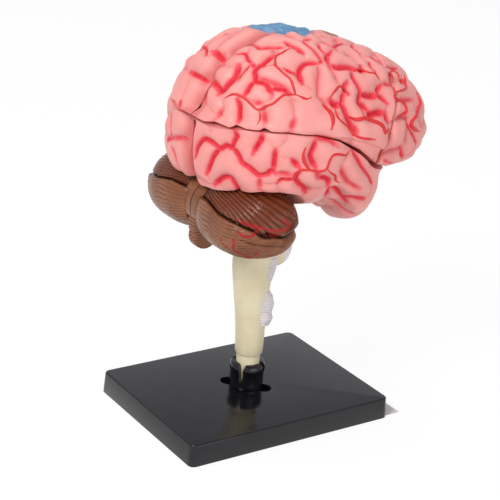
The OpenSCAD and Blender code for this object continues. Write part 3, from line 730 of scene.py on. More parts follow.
cortexPieces = {}
for kind in cortex:
    for side in (-1, 1):
        piece = cortexPiece(kind, side)
        node = f"{kind}_{'left' if side > 0 else 'right'}"
        dress(piece, node, node)
        cortexPieces[node] = piece
        print("cortex piece", node, len(piece.data.polygons), "faces")


# Arteries on the right hemisphere: lines of (turn, height) with the radius of the raised tube
arteries = {
    "frontoparietal_right": [
        (0.45, [(160, 25), (157, 27), (154, 28), (149, 27), (145, 25), (141, 23), (137, 25), (133, 27),
                (129, 31), (126, 32), (123, 32), (124, 35), (126, 39), (131, 42), (134, 44), (137, 46),
                (139, 52), (135, 54), (129, 59)]),
        (0.5, [(123, 32), (120, 31), (117, 30), (114, 31)]),
        (0.4, [(140, 23), (139, 19), (140, 16)]),
        (0.35, [(137, 46), (141, 45), (145, 44)]),
        (0.35, [(155, 44), (156, 39), (158, 36)]),
        (0.45, [(103, 31), (100, 34), (95, 37), (91, 36), (90, 33), (90, 32)]),
        (0.45, [(100, 28), (100, 24), (99, 21), (95, 18), (93, 17), (91, 14), (86, 11), (77, 9)]),
        (0.75, [(108, 28), (105, 26), (103, 23), (103, 19), (104, 16)]),
        (0.75, [(92, 22), (88, 20), (82, 20), (77, 18), (72, 15), (70, 11), (66, 12)]),
        (0.45, [(84, 27), (83, 24), (83, 20)]),
        (0.5, [(75, 45), (65, 45), (63, 41), (58, 39), (58, 36)]),
    ],
    "frontal_pole_right": [
        (0.7, [(52, 29), (54, 27), (57, 25), (54, 23), (51, 21), (51, 17), (54, 16), (58, 16)]),
        (0.45, [(28, 28), (34, 26), (40, 25), (48, 26), (52, 27)]),
        (0.4, [(50, 31), (44, 34), (36, 34), (35, 31), (40, 30)]),
        (0.7, [(33, 20), (34, 17), (35, 15), (41, 13), (47, 12), (49, 10), (46, 7), (42, 5)]),
    ],
    "temporal_right": [
        (0.45, [(128, -9), (125, -8), (121, -8), (120, -7), (118, -4), (117, -3), (113, -3), (109, -4),
                (105, -3), (104, 1), (102, 4), (98, 4), (94, 3), (92, 5)]),
        (0.65, [(116, 8), (117, 5), (116, 1), (114, -2), (113, -3)]),
        (0.45, [(104, -3), (102, -5), (99, -7), (98, -10), (95, -12)]),
    ],
}


def tube(name, points, radius, ends=0.35):
    # a round strand along the points, thinner at its ends
    curve = bpy.data.curves.new(name, "CURVE")
    curve.dimensions = "3D"
    curve.bevel_depth = radius
    curve.bevel_resolution = 2
    curve.use_fill_caps = True
    spline = curve.splines.new("POLY")
    spline.points.add(len(points) - 1)
    spline.points.foreach_set("co", np.column_stack([points, np.ones(len(points))]).ravel())
    run = np.minimum(np.arange(len(points)), np.arange(len(points))[::-1]) / 4
    spline.points.foreach_set("radius", ends + (1 - ends) * smoothStep(0, 1, run))
    obj = bpy.data.objects.new(name, curve)
    bpy.context.scene.collection.objects.link(obj)
    pick(obj)
    bpy.ops.object.convert(target="MESH")
    obj = bpy.context.object
    bpy.ops.object.shade_smooth()
    return obj


def artery(name, line, radius, piece, side):
    # laid on the carved surface: each point of the smooth skin is moved in until it meets the piece
    p = rounded(skinAt(*np.array(line, float).T), 0.8)
    way = outward(p)
    depth = np.zeros(len(p))
    for k, (point, normal) in enumerate(zip(p * [1, side, 1] + brain["centre"], way * [1, side, 1])):
        hit, place, face, index = piece.ray_cast(Vector((point + 4 * normal) * mm), Vector(-normal))
        depth[k] = np.linalg.norm(np.array(place) / mm - point - 4 * normal) - 4 if hit else 0.5
    depth = np.clip(depth, -1, 2.6)
    kernel = np.array([1, 2, 3, 2, 1]) / 9
    depth = np.convolve(np.pad(depth, 2, mode="edge"), kernel, mode="valid")
    p = (p - way * (depth - 0.1 * radius)[:, None]) * [1, side, 1] + brain["centre"]
    return tube(name, p * mm, radius * mm)


vessels = []
for node, lines in arteries.items():
    for k, (radius, line) in enumerate(lines):
        vessel = artery(f"artery_{node}_{k + 1}", line, radius, cortexPieces[node], -1)
        dress(vessel, node)
        vessels.append(vessel)
print("arteries laid:", len(vessels))


# Cerebellum: two leafy hemispheres and the vermis between them
vermis = {
    "discs": [((-29.2, 78.0), 9.0), ((-32.7, 73.0), 5.0)],
    "halfWidth": 3.0,
    "edge": 1.6,
    "front": -17.05,
    "leaf": 1.3,
    "folia": 0.28,
    "neck": {"from": -27.0, "to": -14.8, "z": 78.0, "half": 3.2, "halfWidth": 2.6},
    "room": 0.35,
}


def neckOutline(more):
    # side outline of the neck between the vermis and the stem, waisted in the middle
    neck = vermis["neck"]
    x = np.linspace(neck["from"], neck["to"], 9)
    lift = neck["half"] + more + 0.5 * np.cos(np.linspace(0, 2 * math.pi, 9))
    return list(zip(x, neck["z"] - lift)) + list(zip(x[::-1], neck["z"] + lift[::-1]))


def frontBlock(front, low, high):
    # all that lies in front of the plane where the brown pieces are cut off at the stem
    return prism("front", [(front, 50), (front + 30, 50), (front + 30, 120), (front, 120)], low, high)


def cerebellumHalf(side):
    c = cerebellum
    centre, n = np.array(c["centre"]), c["full"]
    angle = np.radians(np.linspace(180, 540, c["cols"] + 1))[:, None]
    outer = centre[1] + c["halfWidth"]
    y = c["inner"] + (outer - c["inner"]) * np.sin(np.linspace(0, math.pi / 2, c["rows"] + 1))[None]
    k = np.maximum(0, 1 - np.abs((y - centre[1]) / c["halfWidth"]) ** n) ** (1 / n)
    section = superCircle(angle)
    x = k * section[..., 0] * np.where(section[..., 0] > 0, c["shortFront"], c["halfLength"])
    z = k * c["halfHeight"] * section[..., 1]
    y = np.broadcast_to(y, x.shape)
    p = np.stack([x + centre[0], y, z + centre[2]], -1)
    reach = np.array([c["halfLength"], c["halfWidth"], c["halfHeight"]])
    away = p - centre
    way = np.sign(away) * np.abs(away / reach) ** (n - 1) / reach
    way /= np.maximum(1e-9, np.linalg.norm(way, axis=-1, keepdims=True))
    # level fissure between the upper and the lower lobe
    knots = np.array(c["fissure"], float)
    split = np.radians(np.interp(y, knots[:, 0], knots[:, 1]))
    turn = (angle - split + math.pi) % (2 * math.pi) - math.pi
    atBack = smoothStep(-2, 4, -x)
    gap = np.abs(turn) * 15 * np.maximum(k, 0.25)
    cleft = atBack * np.clip(1 - gap / c["fissureWidth"], 0, 1) ** 1.4

    plain = p.reshape(-1, 1, 3)

    def nearTo(line):
        q = rounded(np.array(line) * [1, -1, 1], 0.4)
        inFront = np.maximum(0, q[:, 0] - centre[0])
        q[:, 0] -= inFront * (1 - c["shortFront"] / c["halfLength"])
        return np.sqrt(((plain - q[None]) ** 2).sum(2)).min(1).reshape(x.shape)

    front = nearTo(c["fissureFront"])
    cleft = np.maximum(cleft, np.clip(1 - front / c["fissureWidth"], 0, 1) ** 1.4)
    notch = np.clip(1 - front / 2.6, 0, 1) ** 1.3 * smoothStep(-3, 6, x)
    # the upper lobe stands back a little above the fissure, and a second line marks the lower one
    back = atBack * c["overhang"] * smoothStep(-0.02, 0.12, -turn) * (1 - smoothStep(0.1, 0.9, -turn))
    second = np.clip(1 - nearTo(c["secondLine"]) / 1.2, 0, 1) ** 1.5
    # leaves: along the lobe below the fissure, fanned out above it
    flat = p.reshape(-1, 3)
    loose = wobble(flat, 22, 3).reshape(x.shape)
    looser = wobble(flat, 9, 12).reshape(x.shape)
    lower = np.abs(np.sin(c["lowerFolia"] * turn + 2.4 * loose + 1.2 * looser))
    axis = np.array(c["fan"]["axis"])
    first = np.cross(axis, (0, 0, 1))
    first /= np.linalg.norm(first)
    spoke = p - c["fan"]["from"]
    fan = np.arctan2(spoke @ np.cross(axis, first), spoke @ first)
    upper = np.abs(np.sin(c["upperFolia"] / 2 * fan + 1.2 * loose))
    fanned = (turn < 0) & (turn > -2.4)
    uneven = 0.65 + 0.35 * wobble(flat, 11, 21).reshape(x.shape)
    valley = (1 - np.where(fanned, upper, lower)) ** 1.3
    valley = valley * smoothStep(0, 0.3, k) * np.where(fanned, 1.1, uneven)
    carved = np.maximum(c["fissureDepth"] * cleft, 2.6 * notch)
    depth = c["folia"] * valley + carved + back + 0.7 * second
    depth = depth + c["unevenness"] * wobble(flat, 9, 4).reshape(x.shape)
    p = p - depth[..., None] * way
    p[..., 1] = np.maximum(p[..., 1], c["inner"])
    p[:, 0, 1] = c["inner"]
    obj = gridPiece(f"leafy_cerebellum_{'left' if side > 0 else 'right'}", p)
    # the valleys between the leaves are kept for the finish, which paints shade into them
    setFloat(obj, "valley", valley.ravel())
    # the fissure and the second line are kept for the finish, which paints shade into them
    setFloat(obj, "cleft", np.maximum(cleft, 0.5 * second).ravel())
    red = np.zeros(len(flat))
    if side < 0:
        frayed = 0.25 * wobble(flat, 4, 31)
        for line in cerebellumVessels:
            red = np.maximum(red, 1 - smoothStep(0.3, 0.7, nearTo(line).ravel() + frayed))
    setFloat(obj, "vessel", red)
    # the upper lobe, under the cerebrum, is marked for painted shade in the finish
    setFloat(obj, "under", (turn < 0).ravel() * 1.0)
    weld(obj)
    # the halves close up towards each other over and behind the vermis
    k = (1 - np.abs((c["inner"] - centre[1]) / c["halfWidth"]) ** n) ** (1 / n) * c["midline"]["share"]
    meet = [(centre[0] + c["halfLength"] * k * a, centre[2] + c["halfHeight"] * k * b)
            for a, b in superCircle(np.radians(np.arange(0, 360, 4)))]
    cutOrAdd(obj, prism("meet", meet, c["midline"]["gap"], c["inner"] + 2), "UNION")
    more = vermis["room"]
    for room in [circle(*at, r + more, 72) for at, r in vermis["discs"]] + [neckOutline(more)]:
        cutOrAdd(obj, prism("room", room, -1, c["inner"]), "DIFFERENCE")
    cutOrAdd(obj, frontBlock(c["front"], -1, c["frontWidth"]), "DIFFERENCE")
    return settle(obj, side)


# Red lines painted on the right half of the cerebellum, in mm of the frame
cerebellumVessels = [
    [(-38.5, -28.7, 89.2), (-36.6, -31.5, 88.5), (-33.8, -34.0, 87.7), (-30.4, -35.6, 86.9),
     (-26.4, -36.3, 86.2), (-22.2, -36.2, 86.6), (-21.7, -35.9, 87.6), (-24.0, -35.3, 89.5)],
    [(-26.4, -36.3, 86.2), (-26.7, -36.4, 84.5), (-28.6, -36.3, 84.4)],
    [(-38.4, -30.3, 85.1), (-37.5, -31.5, 84.3), (-36.5, -32.5, 84.2), (-35.3, -33.5, 84.7),
     (-33.9, -34.3, 85.9)],
    [(-41.1, -23.6, 80.9), (-40.3, -24.2, 79.2), (-39.3, -25.3, 78.0)],
    [(-39.4, -28.6, 82.5), (-38.9, -28.7, 80.6), (-38.5, -27.7, 78.4), (-36.8, -28.4, 76.9),
     (-34.3, -29.7, 75.9), (-29.1, -28.3, 73.5)],
    [(-28.2, -28.8, 73.2), (-24.6, -30.2, 73.5), (-21.4, -30.9, 74.4), (-18.1, -31.9, 75.7),
     (-16.4, -32.3, 76.7)],
    [(-32.4, -33.2, 78.1), (-32.1, -31.8, 76.4)],
]

brownPieces = []
for side in (-1, 1):
    piece = cerebellumHalf(side)
    node = f"cerebellum_{'left' if side > 0 else 'right'}"
    dress(piece, node, node)
    brownPieces.append(piece)
    print("cerebellum half", len(piece.data.polygons), "faces")


def vermisDisc(centre, radius):
    v = vermis
    angle = np.linspace(0, 2 * math.pi, 241)[:, None]
    leaves = round(2 * math.pi * radius / v["leaf"])
    turn = np.linspace(0, math.pi / 2, 7)
    edge = v["edge"]
    out = radius - edge + edge * np.sin(turn)
    r = np.concatenate([[0], out, out[::-1], [0]])
    side = v["halfWidth"] - edge * (1 - np.cos(turn))
    y = np.concatenate([[-v["halfWidth"]], -side, side[::-1], [v["halfWidth"]]])
    valley = (1 - np.abs(np.sin(angle * leaves / 2))) ** 1.6 * (r > radius - edge - 0.01)[None]
    r = r[None] - v["folia"] * valley
    y = np.broadcast_to(y[None], r.shape)
    p = np.stack([centre[0] + r * np.cos(angle), y, centre[1] + r * np.sin(angle)], -1)
    obj = gridPiece("leafy_vermis", p)
    # the valleys between the leaves are kept for the finish, which paints shade into them
    setFloat(obj, "valley", valley.ravel())
    weld(obj)
    return obj


def vermisPiece():
    v = vermis
    big, small = (vermisDisc(*disc) for disc in v["discs"])
    cutOrAdd(big, small, "UNION")
    cutOrAdd(big, frontBlock(v["front"], -9, 9), "DIFFERENCE")
    half = v["neck"]["halfWidth"]
    cutOrAdd(big, prism("neck", neckOutline(0), -half, half), "UNION")
    return settle(big)


brownPieces.append(vermisPiece())
dress(brownPieces[-1], "brain", "vermis")
print("vermis made")


# Stand: plate with a softened rim and the split socket
stand = {
    "x": -8.7,
    "length": 88.0,
    "width": 66.0,
    "height": 8.4,
    "wall": 1.8,
    "corner": 2.5,
    "softening": 0.5,
    "draft": 0.5,
    "slotLength": 20.2,
    "slotWidth": 6.4,
    "slotTurn": -51.0,
    "bore": 4.55,
    "neck": 5.65,
    "fit": 0.1,
    "socketTop": 18.6,
    "socketFloor": 8.65,
    "lug": (19.4, 5.4, 1.4),
    "slitTurns": (-55.0, 35.0),
    "slit": [(-0.25, 10.6), (0.25, 10.6), (0.8, 17.2), (1.5, 19.2), (-1.5, 19.2), (-0.8, 17.2)],
    "socket": [(5.65, 5.1), (5.65, 8.42), (6.35, 8.42), (6.45, 8.6), (6.4, 10), (6.35, 14.6), (6.5, 15.2),
               (6.7, 15.9), (6.75, 16.5), (6.65, 17.3), (6.4, 18.0), (6.0, 18.45), (5.6, 18.6)],
}


def arc(x, y, r, first, last, step=15):
    turns = [math.radians(a) for a in range(first, last + 1, step)]
    return [(x + r * math.cos(a), y + r * math.sin(a)) for a in turns]


def roundedRectangle(length, width, r):
    x, y = length / 2 - r, width / 2 - r
    return (arc(x, y, r, 0, 90) + arc(-x, y, r, 90, 180) + arc(-x, -y, r, 180, 270) + arc(x, -y, r, 270, 360))


def turned(outline, degrees):
    c, s = math.cos(math.radians(degrees)), math.sin(math.radians(degrees))
    return [(x * c - y * s, x * s + y * c) for x, y in outline]


def bar(length, width, degrees):
    # outline of a bar whose ends lie on one circle
    half = math.asin(width / length)
    end = [(length / 2 * math.cos(a), length / 2 * math.sin(a)) for a in np.linspace(-half, half, 9)]
    return turned(end + [(-x, -y) for x, y in end], degrees)


def basePlate():
    s = stand
    obj = prism("rimmed_base", roundedRectangle(s["length"], s["width"], s["corner"]), 0, s["height"], "Z")
    co = coords(obj)
    co[co[:, 2] > 1, :2] *= 1 - s["draft"] / s["length"] * 2
    setCoords(obj, co)
    sharp = math.radians(40)
    applyModifier(obj, "BEVEL", width=s["softening"], segments=3, limit_method="ANGLE", angle_limit=sharp)
    wall = s["wall"]
    inside = roundedRectangle(s["length"] - 2 * wall, s["width"] - 2 * wall, s["corner"] - wall / 2)
    cutOrAdd(obj, prism("inside", inside, -1, s["height"] - wall, "Z"), "DIFFERENCE")
    cutOrAdd(obj, prism("hole", circle(0, 0, s["neck"] + s["fit"], 64), 0, 30, "Z"), "DIFFERENCE")
    r = s["slotWidth"] / 2
    x = s["slotLength"] / 2 - r
    slot = turned(arc(x, 0, r, -90, 90) + arc(-x, 0, r, 90, 270), s["slotTurn"])
    cutOrAdd(obj, prism("slot", slot, 0.5, 30, "Z"), "DIFFERENCE")
    return settle(obj, 1, (s["x"], 0, 0), 30)


def rings(name, points):
    # skins closed rings, an array of corners by heights, and closes both ends
    obj = gridPiece(name, points)
    weld(obj)
    return obj


def lathe(name, profile, count):
    angle = np.linspace(0, 2 * math.pi, count + 1)[:, None]
    r, z = np.array(profile).T
    x = r[None] * np.cos(angle)
    return rings(name, np.stack([x, r[None] * np.sin(angle), np.broadcast_to(z[None], x.shape)], -1))


def socketPiece():
    s = stand
    low = s["socket"][0][1]
    obj = lathe("turned_socket", [(0, low)] + s["socket"] + [(0, s["socketTop"])], 96)
    length, width, thick = s["lug"]
    cutOrAdd(obj, prism("lug", bar(length, width, s["slotTurn"] + 90), low, low + thick, "Z"), "UNION")
    cutOrAdd(obj, prism("bore", circle(0, 0, s["bore"], 64), s["socketFloor"], 30, "Z"), "DIFFERENCE")
    for turn in s["slitTurns"]:
        slit = prism("slit", s["slit"], -10, 10)
        co = coords(slit)
        x, y = turned(co[:, :2].T[None], turn - 90)[0]
        setCoords(slit, np.column_stack([x, y, co[:, 2]]))
        cutOrAdd(obj, slit, "DIFFERENCE")
    return settle(obj, 1, (s["x"], 0, 0), 35)


# Brain stem and the ridged nerve roots on its flanks, in mm from the axis of the stem
stem = {
    # height, radius and how far the section leans back and to the left
    "sections": [(9.0, 3.85, 0), (9.6, 4.45, 0), (22.2, 4.4, 0), (22.3, 4.95, 0), (22.8, 5.25, 0),
                 (26, 5.35, 0), (33, 5.6, 0.2), (40, 6.0, 0.5), (46, 6.6, 0.8), (52, 7.2, 1.0),
                 (57, 7.7, 1.0), (62, 7.9, 0.8), (66, 7.7, 0.4), (72, 7.0, 0), (98, 7.0, 0)],
    "lean": (-0.816, 0.578),
    "pons": {"centre": (4.6, 0.0, 67.6), "reach": (9.1, 6.9, 11.2), "full": 2.8},
    "white": {"ahead": 10.0, "below": 66, "beside": -2},
    "arteryTurns": (-48.0, 58.0),
    "arteryRadius": 0.8,
    "arteryOut": 0.5,
}
roots = {
    # height, turn to the side, distance of the middle, half width along the flank, half thickness
    "upper": [(52.6, 72, 5.6, 0.8, 1.1), (53.4, 71, 5.6, 1.7, 2.0), (57.0, 66, 5.8, 2.4, 2.4),
              (61.0, 58, 5.8, 3.1, 2.6), (62.6, 56, 5.6, 2.6, 2.0)],
    "lower": [(34.0, 55, 4.4, 1.2, 1.2), (34.8, 55, 4.7, 2.6, 2.5), (37.5, 55, 5.2, 3.3, 3.0),
              (39.6, 55, 4.9, 3.1, 2.7), (43.0, 56, 5.4, 3.3, 2.9), (46.5, 58, 5.2, 2.6, 2.4),
              (48.4, 60, 5.0, 1.4, 1.4)],
    "pitch": 1.15,
    "ridge": 0.26,
}


def between(knots, count):
    # smooth values between the rows of a list whose first column is the height
    knots = np.array(knots, float)
    z = np.linspace(knots[0, 0], knots[-1, 0], count)
    return np.column_stack([z] + [np.interp(z, knots[:, 0], knots[:, k]) for k in range(1, knots.shape[1])])


def superBall(name, centre, reach, full, count):
    turn = np.linspace(0, 2 * math.pi, count + 1)[:, None]
    lift = np.linspace(-math.pi / 2, math.pi / 2, count // 2 + 1)[None]
    d = np.stack([np.cos(lift) * np.cos(turn), np.cos(lift) * np.sin(turn), np.sin(lift) + 0 * turn], -1)
    share = (np.abs(d / np.array(reach)) ** full).sum(-1, keepdims=True) ** (-1 / full)
    return rings(name, d * share + np.array(centre))


def stemPiece():
    s = stem
    z, r, lean = np.array(s["sections"], float).T
    turn = np.linspace(0, 2 * math.pi, 97)[:, None]
    x = r[None] * np.cos(turn) + lean[None] * s["lean"][0]
    y = r[None] * np.sin(turn) + lean[None] * s["lean"][1]
    obj = rings("turned_brain_stem", np.stack([x, y, np.broadcast_to(z[None], x.shape)], -1))
    p = s["pons"]
    cutOrAdd(obj, superBall("pons", p["centre"], p["reach"], p["full"], 72), "UNION")
    # the white patch on the lower right of the pons
    x, y, height = coords(obj).T
    w = s["white"]
    ahead = -(x * s["lean"][0] + y * s["lean"][1])
    patch = smoothStep(w["ahead"] - 0.2, w["ahead"] + 0.4, ahead)
    setFloat(obj, "white", patch * (height < w["below"]) * (y < w["beside"]))
    return settle(obj, 1, (stand["x"], 0, 0), 40)


def basilarArtery():
    # runs up the front of the pons, half sunk in it
    p = stem["pons"]
    turn = np.radians(np.linspace(*stem["arteryTurns"], 60))
    ahead, up = np.cos(turn), np.sin(turn)
    share = (ahead / p["reach"][0]) ** p["full"] + (np.abs(up) / p["reach"][2]) ** p["full"]
    reach = share ** (-1 / p["full"]) + stem["arteryOut"]
    x, z = p["centre"][0] + reach * ahead, p["centre"][2] + reach * up
    line = np.stack([x + stand["x"], 0 * x, z], -1)
    return tube("basilar_artery_strand", line * mm, stem["arteryRadius"] * mm, 0.8)


def rootPiece(side):
    bundles = []
    turn = np.linspace(0, 2 * math.pi, 49)[:, None]
    for part in ("upper", "lower"):
        z, aside, out, width, thick = between(roots[part], 72).T
        ridge = roots["ridge"] * np.abs(np.sin(math.pi * z / roots["pitch"])) ** 0.7
        a = np.radians(aside)
        u = (thick + ridge - roots["ridge"])[None] * np.cos(turn) + out[None]
        v = (width + ridge - roots["ridge"])[None] * np.sin(turn)
        x = u * np.cos(a) + v * np.sin(a)
        y = u * np.sin(a) - v * np.cos(a)
        bundles.append(rings("ridged_root", np.stack([x, y, np.broadcast_to(z[None], x.shape)], -1)))
    cutOrAdd(bundles[0], bundles[1], "UNION")
    return settle(bundles[0], side, (stand["x"], 0, 0), 40)


stemPieces = [stemPiece()]
dress(stemPieces[0], "brain", "brain_stem")
rootPieces = [rootPiece(side) for side in (-1, 1)]
for piece, name in zip(rootPieces, ("nerve_roots_right", "nerve_roots_left")):
    dress(piece, "brain", name)
vessels.append(basilarArtery())
dress(vessels[-1], "brain", "basilar_artery")
print("stem made")


blackPieces = [basePlate(), socketPiece()]
dress(blackPieces[0], "stand", "base_plate")
dress(blackPieces[1], "socket", "stand_socket")
print("stand made")


# Shader maths
def rgb(r, g, b):
    # a colour as seen on screen, 0 to 255, turned into the values that a shader takes
    shares = [c / 255 for c in (r, g, b)]
    return tuple(c / 12.92 if c <= 0.04 else ((c + 0.055) / 1.055) ** 2.4 for c in shares) + (1.0,)


class Link:
    # wraps a socket, so that shader maths is written as plain sums
    def __init__(self, finish, socket):
        self.finish = finish
        self.socket = socket

    def __add__(self, other):
        return self.finish.math("ADD", self, other)

    def __mul__(self, other):
        return self.finish.math("MULTIPLY", self, other)

    def __sub__(self, other):
        return self.finish.math("SUBTRACT", self, other)

    def __rsub__(self, other):
        return self.finish.math("SUBTRACT", other, self)

    __radd__ = __add__
    __rmul__ = __mul__


class Finish:
    # one material, built node by node
    def __init__(self, name):
        self.material = bpy.data.materials.new(name)
        self.material.use_nodes = True
        self.tree = self.material.node_tree
        self.tree.nodes.clear()
        self.out = self.tree.nodes.new("ShaderNodeOutputMaterial")
        self.place = self.node("ShaderNodeTexCoord", result="Object")

    def node(self, kind, settings=None, inputs=None, result=0):
        made = self.tree.nodes.new(kind)
        for key, value in (settings or {}).items():
            setattr(made, key, value)
        for key, value in (inputs or {}).items():
            if isinstance(value, Link):
                self.tree.links.new(value.socket, made.inputs[key])
            else:
                made.inputs[key].default_value = value
        return Link(self, made.outputs[result])

    def math(self, operation, a, b):
        return self.node("ShaderNodeMath", {"operation": operation}, {0: a, 1: b})

    def spread(self, value, low, high, to=(0.0, 1.0)):
        ends = {"From Min": low, "From Max": high, "To Min": to[0], "To Max": to[1]}
        return self.node("ShaderNodeMapRange", {"interpolation_type": "SMOOTHSTEP"}, {"Value": value, **ends})

    def mix(self, factor, a, b):
        return self.node("ShaderNodeMix", {"data_type": "RGBA"}, {0: factor, 6: a, 7: b}, 2)

    def noise(self, scale, detail=3.0, roughness=0.5):
        return self.node("ShaderNodeTexNoise", None,
                         {"Vector": self.place, "Scale": scale, "Detail": detail, "Roughness": roughness})

    def attribute(self, name):
        return self.node("ShaderNodeAttribute", {"attribute_name": name}, None, "Fac")

    def bump(self, height, distance, strength=1.0):
        inputs = {"Height": height, "Distance": distance, "Strength": strength}
        return self.node("ShaderNodeBump", None, inputs)

    def shade(self, colour, **sockets):
        names = {key: key.replace("_", " ") for key in sockets}
        made = self.node("ShaderNodeBsdfPrincipled", None,
                         {"Base Color": colour, **{names[k]: v for k, v in sockets.items()}})
        self.tree.links.new(made.socket, self.out.inputs["Surface"])
        return self.material


def cortexFinish():
    f = Finish("cortexPink")
    patchy = f.noise(90.0, 2.0)
    paintEdge = f.noise(700.0, 3.0)
    strength = f.attribute("paint_and_shade") + (paintEdge - 0.5) * 0.2
    gyrus = f.mix(f.spread(patchy, 0.3, 0.7), rgb(240, 158, 152), rgb(236, 150, 145))
    # the pink turns darker with the carved depth: painted shade in creases, the fissure and at the seams
    pinkWithCreaseShade = f.mix(f.spread(f.attribute("hollow"), 0.12, 0.95, (0.0, 0.85)), gyrus, rgb(214, 106, 104))
    # soft crimson edge of the painted furrows; along bare creases and bridges it is painted shade
    softPaintAndShade = f.mix(f.spread(strength, 0.02, 0.5, (0.0, 0.8)), pinkWithCreaseShade, rgb(234, 98, 106))
    colour = f.mix(f.spread(strength, 0.3, 0.8), softPaintAndShade, rgb(226, 48, 66))
    blueTone = f.mix(f.spread(f.noise(240.0), 0.35, 0.65), rgb(104, 148, 184), rgb(84, 126, 166))
    brownTone = f.mix(f.spread(f.noise(240.0), 0.35, 0.65), rgb(176, 122, 96), rgb(150, 100, 80))
    colour = f.mix(f.attribute("blue"), colour, blueTone)
    colour = f.mix(f.attribute("brown"), colour, brownTone)
    rough = f.spread(f.noise(260.0, 2.0), 0.3, 0.7, (0.40, 0.50))
    grain = f.bump(f.noise(1500.0, 2.0), 0.00006, 0.5)
    return f.shade(colour, Roughness=rough, Normal=grain, IOR=1.46)


def cerebellumFinish():
    f = Finish("cerebellumBrown")
    tone = f.mix(f.spread(f.noise(120.0, 3.0), 0.35, 0.65), rgb(146, 92, 62), rgb(128, 76, 48))
    # the upper lobe is painted darker: painted shade of the cerebrum above it
    upper = f.mix(f.attribute("under") * 0.85, tone, rgb(112, 50, 24))
    # darker in the valleys between the leaves: painted shade
    deep = f.mix(f.spread(f.attribute("valley"), 0.1, 0.9, (0.0, 0.75)), upper, rgb(74, 30, 15))
    # nearly black in the fissure and along the second line: painted shade in the grooves
    cleft = f.mix(f.spread(f.attribute("cleft"), 0.1, 0.7), deep, rgb(50, 21, 11))
    colour = f.mix(f.attribute("vessel"), cleft, rgb(160, 24, 28))
    rough = f.spread(f.noise(500.0, 2.0), 0.3, 0.7, (0.2, 0.3))
    return f.shade(colour, Roughness=rough, Normal=f.bump(f.noise(1200.0, 2.0), 0.00006, 0.5), IOR=1.4)


def arteryFinish():
    f = Finish("arteryRed")
    colour = f.mix(f.spread(f.noise(500.0, 2.0), 0.35, 0.65), rgb(226, 46, 50), rgb(210, 36, 42))
    return f.shade(colour, Roughness=f.spread(f.noise(900.0), 0.3, 0.7, (0.34, 0.44)),
                   Normal=f.bump(f.noise(1500.0), 0.00005, 0.4), IOR=1.46)


def plainFinish(name, light, dark, roughness, scale=140.0):
    f = Finish(name)
    colour = f.mix(f.spread(f.noise(scale, 4.0), 0.3, 0.7), rgb(*light), rgb(*dark))
    rough = f.spread(f.noise(scale * 2.5, 3.0), 0.3, 0.7, (roughness - 0.05, roughness + 0.05))
    return f.shade(colour, Roughness=rough, Normal=f.bump(f.noise(1400.0, 2.0), 0.00005, 0.4), IOR=1.46)


def stemFinish():
    f = Finish("stemCream")
    tone = f.mix(f.spread(f.noise(110.0, 3.0), 0.3, 0.7), rgb(234, 224, 192), rgb(224, 212, 176))
    colour = f.mix(f.attribute("white"), tone, rgb(226, 218, 224))
    rough = f.spread(f.noise(300.0, 3.0), 0.3, 0.7, (0.36, 0.46))
    return f.shade(colour, Roughness=rough, Normal=f.bump(f.noise(1400.0, 2.0), 0.00005, 0.4), IOR=1.46)


finishes = {
    "cortex": cortexFinish(),
    "artery": arteryFinish(),
    "stem": stemFinish(),
    "nerve": plainFinish("nerveWhite", (226, 220, 222), (214, 206, 210), 0.45),
    "white": plainFinish("whiteMatter", (236, 226, 204), (226, 213, 188), 0.48),
    "nucleus": plainFinish("nucleusMauve", (176, 128, 140), (160, 108, 124), 0.48),
    "ochre": plainFinish("nerveOchre", (222, 190, 110), (208, 172, 92), 0.45),
    "blue": plainFinish("ventricleBlue", (98, 150, 190), (80, 132, 176), 0.45),
    "black": plainFinish("standBlack", (20, 20, 26), (13, 13, 18), 0.14),
    "brown": cerebellumFinish(),
}


def coat(obj, finish):
    obj.data.materials.clear()
    obj.data.materials.append(finishes[finish])


for finish, pieces in (("cortex", cortexPieces.values()), ("artery", vessels), ("brown", brownPieces),
                       ("black", blackPieces), ("stem", stemPieces), ("nerve", rootPieces)):
    for piece in pieces:
        coat(piece, finish)

# The inner pieces keep their solids and only take a finish
nodeFinish = {
    "white": ["white_matter_right", "white_matter_left", "corpus_callosum"],
    "cortex": ["insula_right", "insula_left"],
    "nucleus": ["basal_ganglia_right", "basal_ganglia_left", "thalamus_right", "thalamus_left",
                "pituitary"],
    "ochre": ["hippocampus_right", "hippocampus_left", "fornix", "optic_chiasm", "olfactory_tract_right",
              "olfactory_tract_left"],
    "blue": ["ventricle_right", "ventricle_left"],
}
for finish, names in nodeFinish.items():
    for name in names:
        coat(nodes[name], finish)


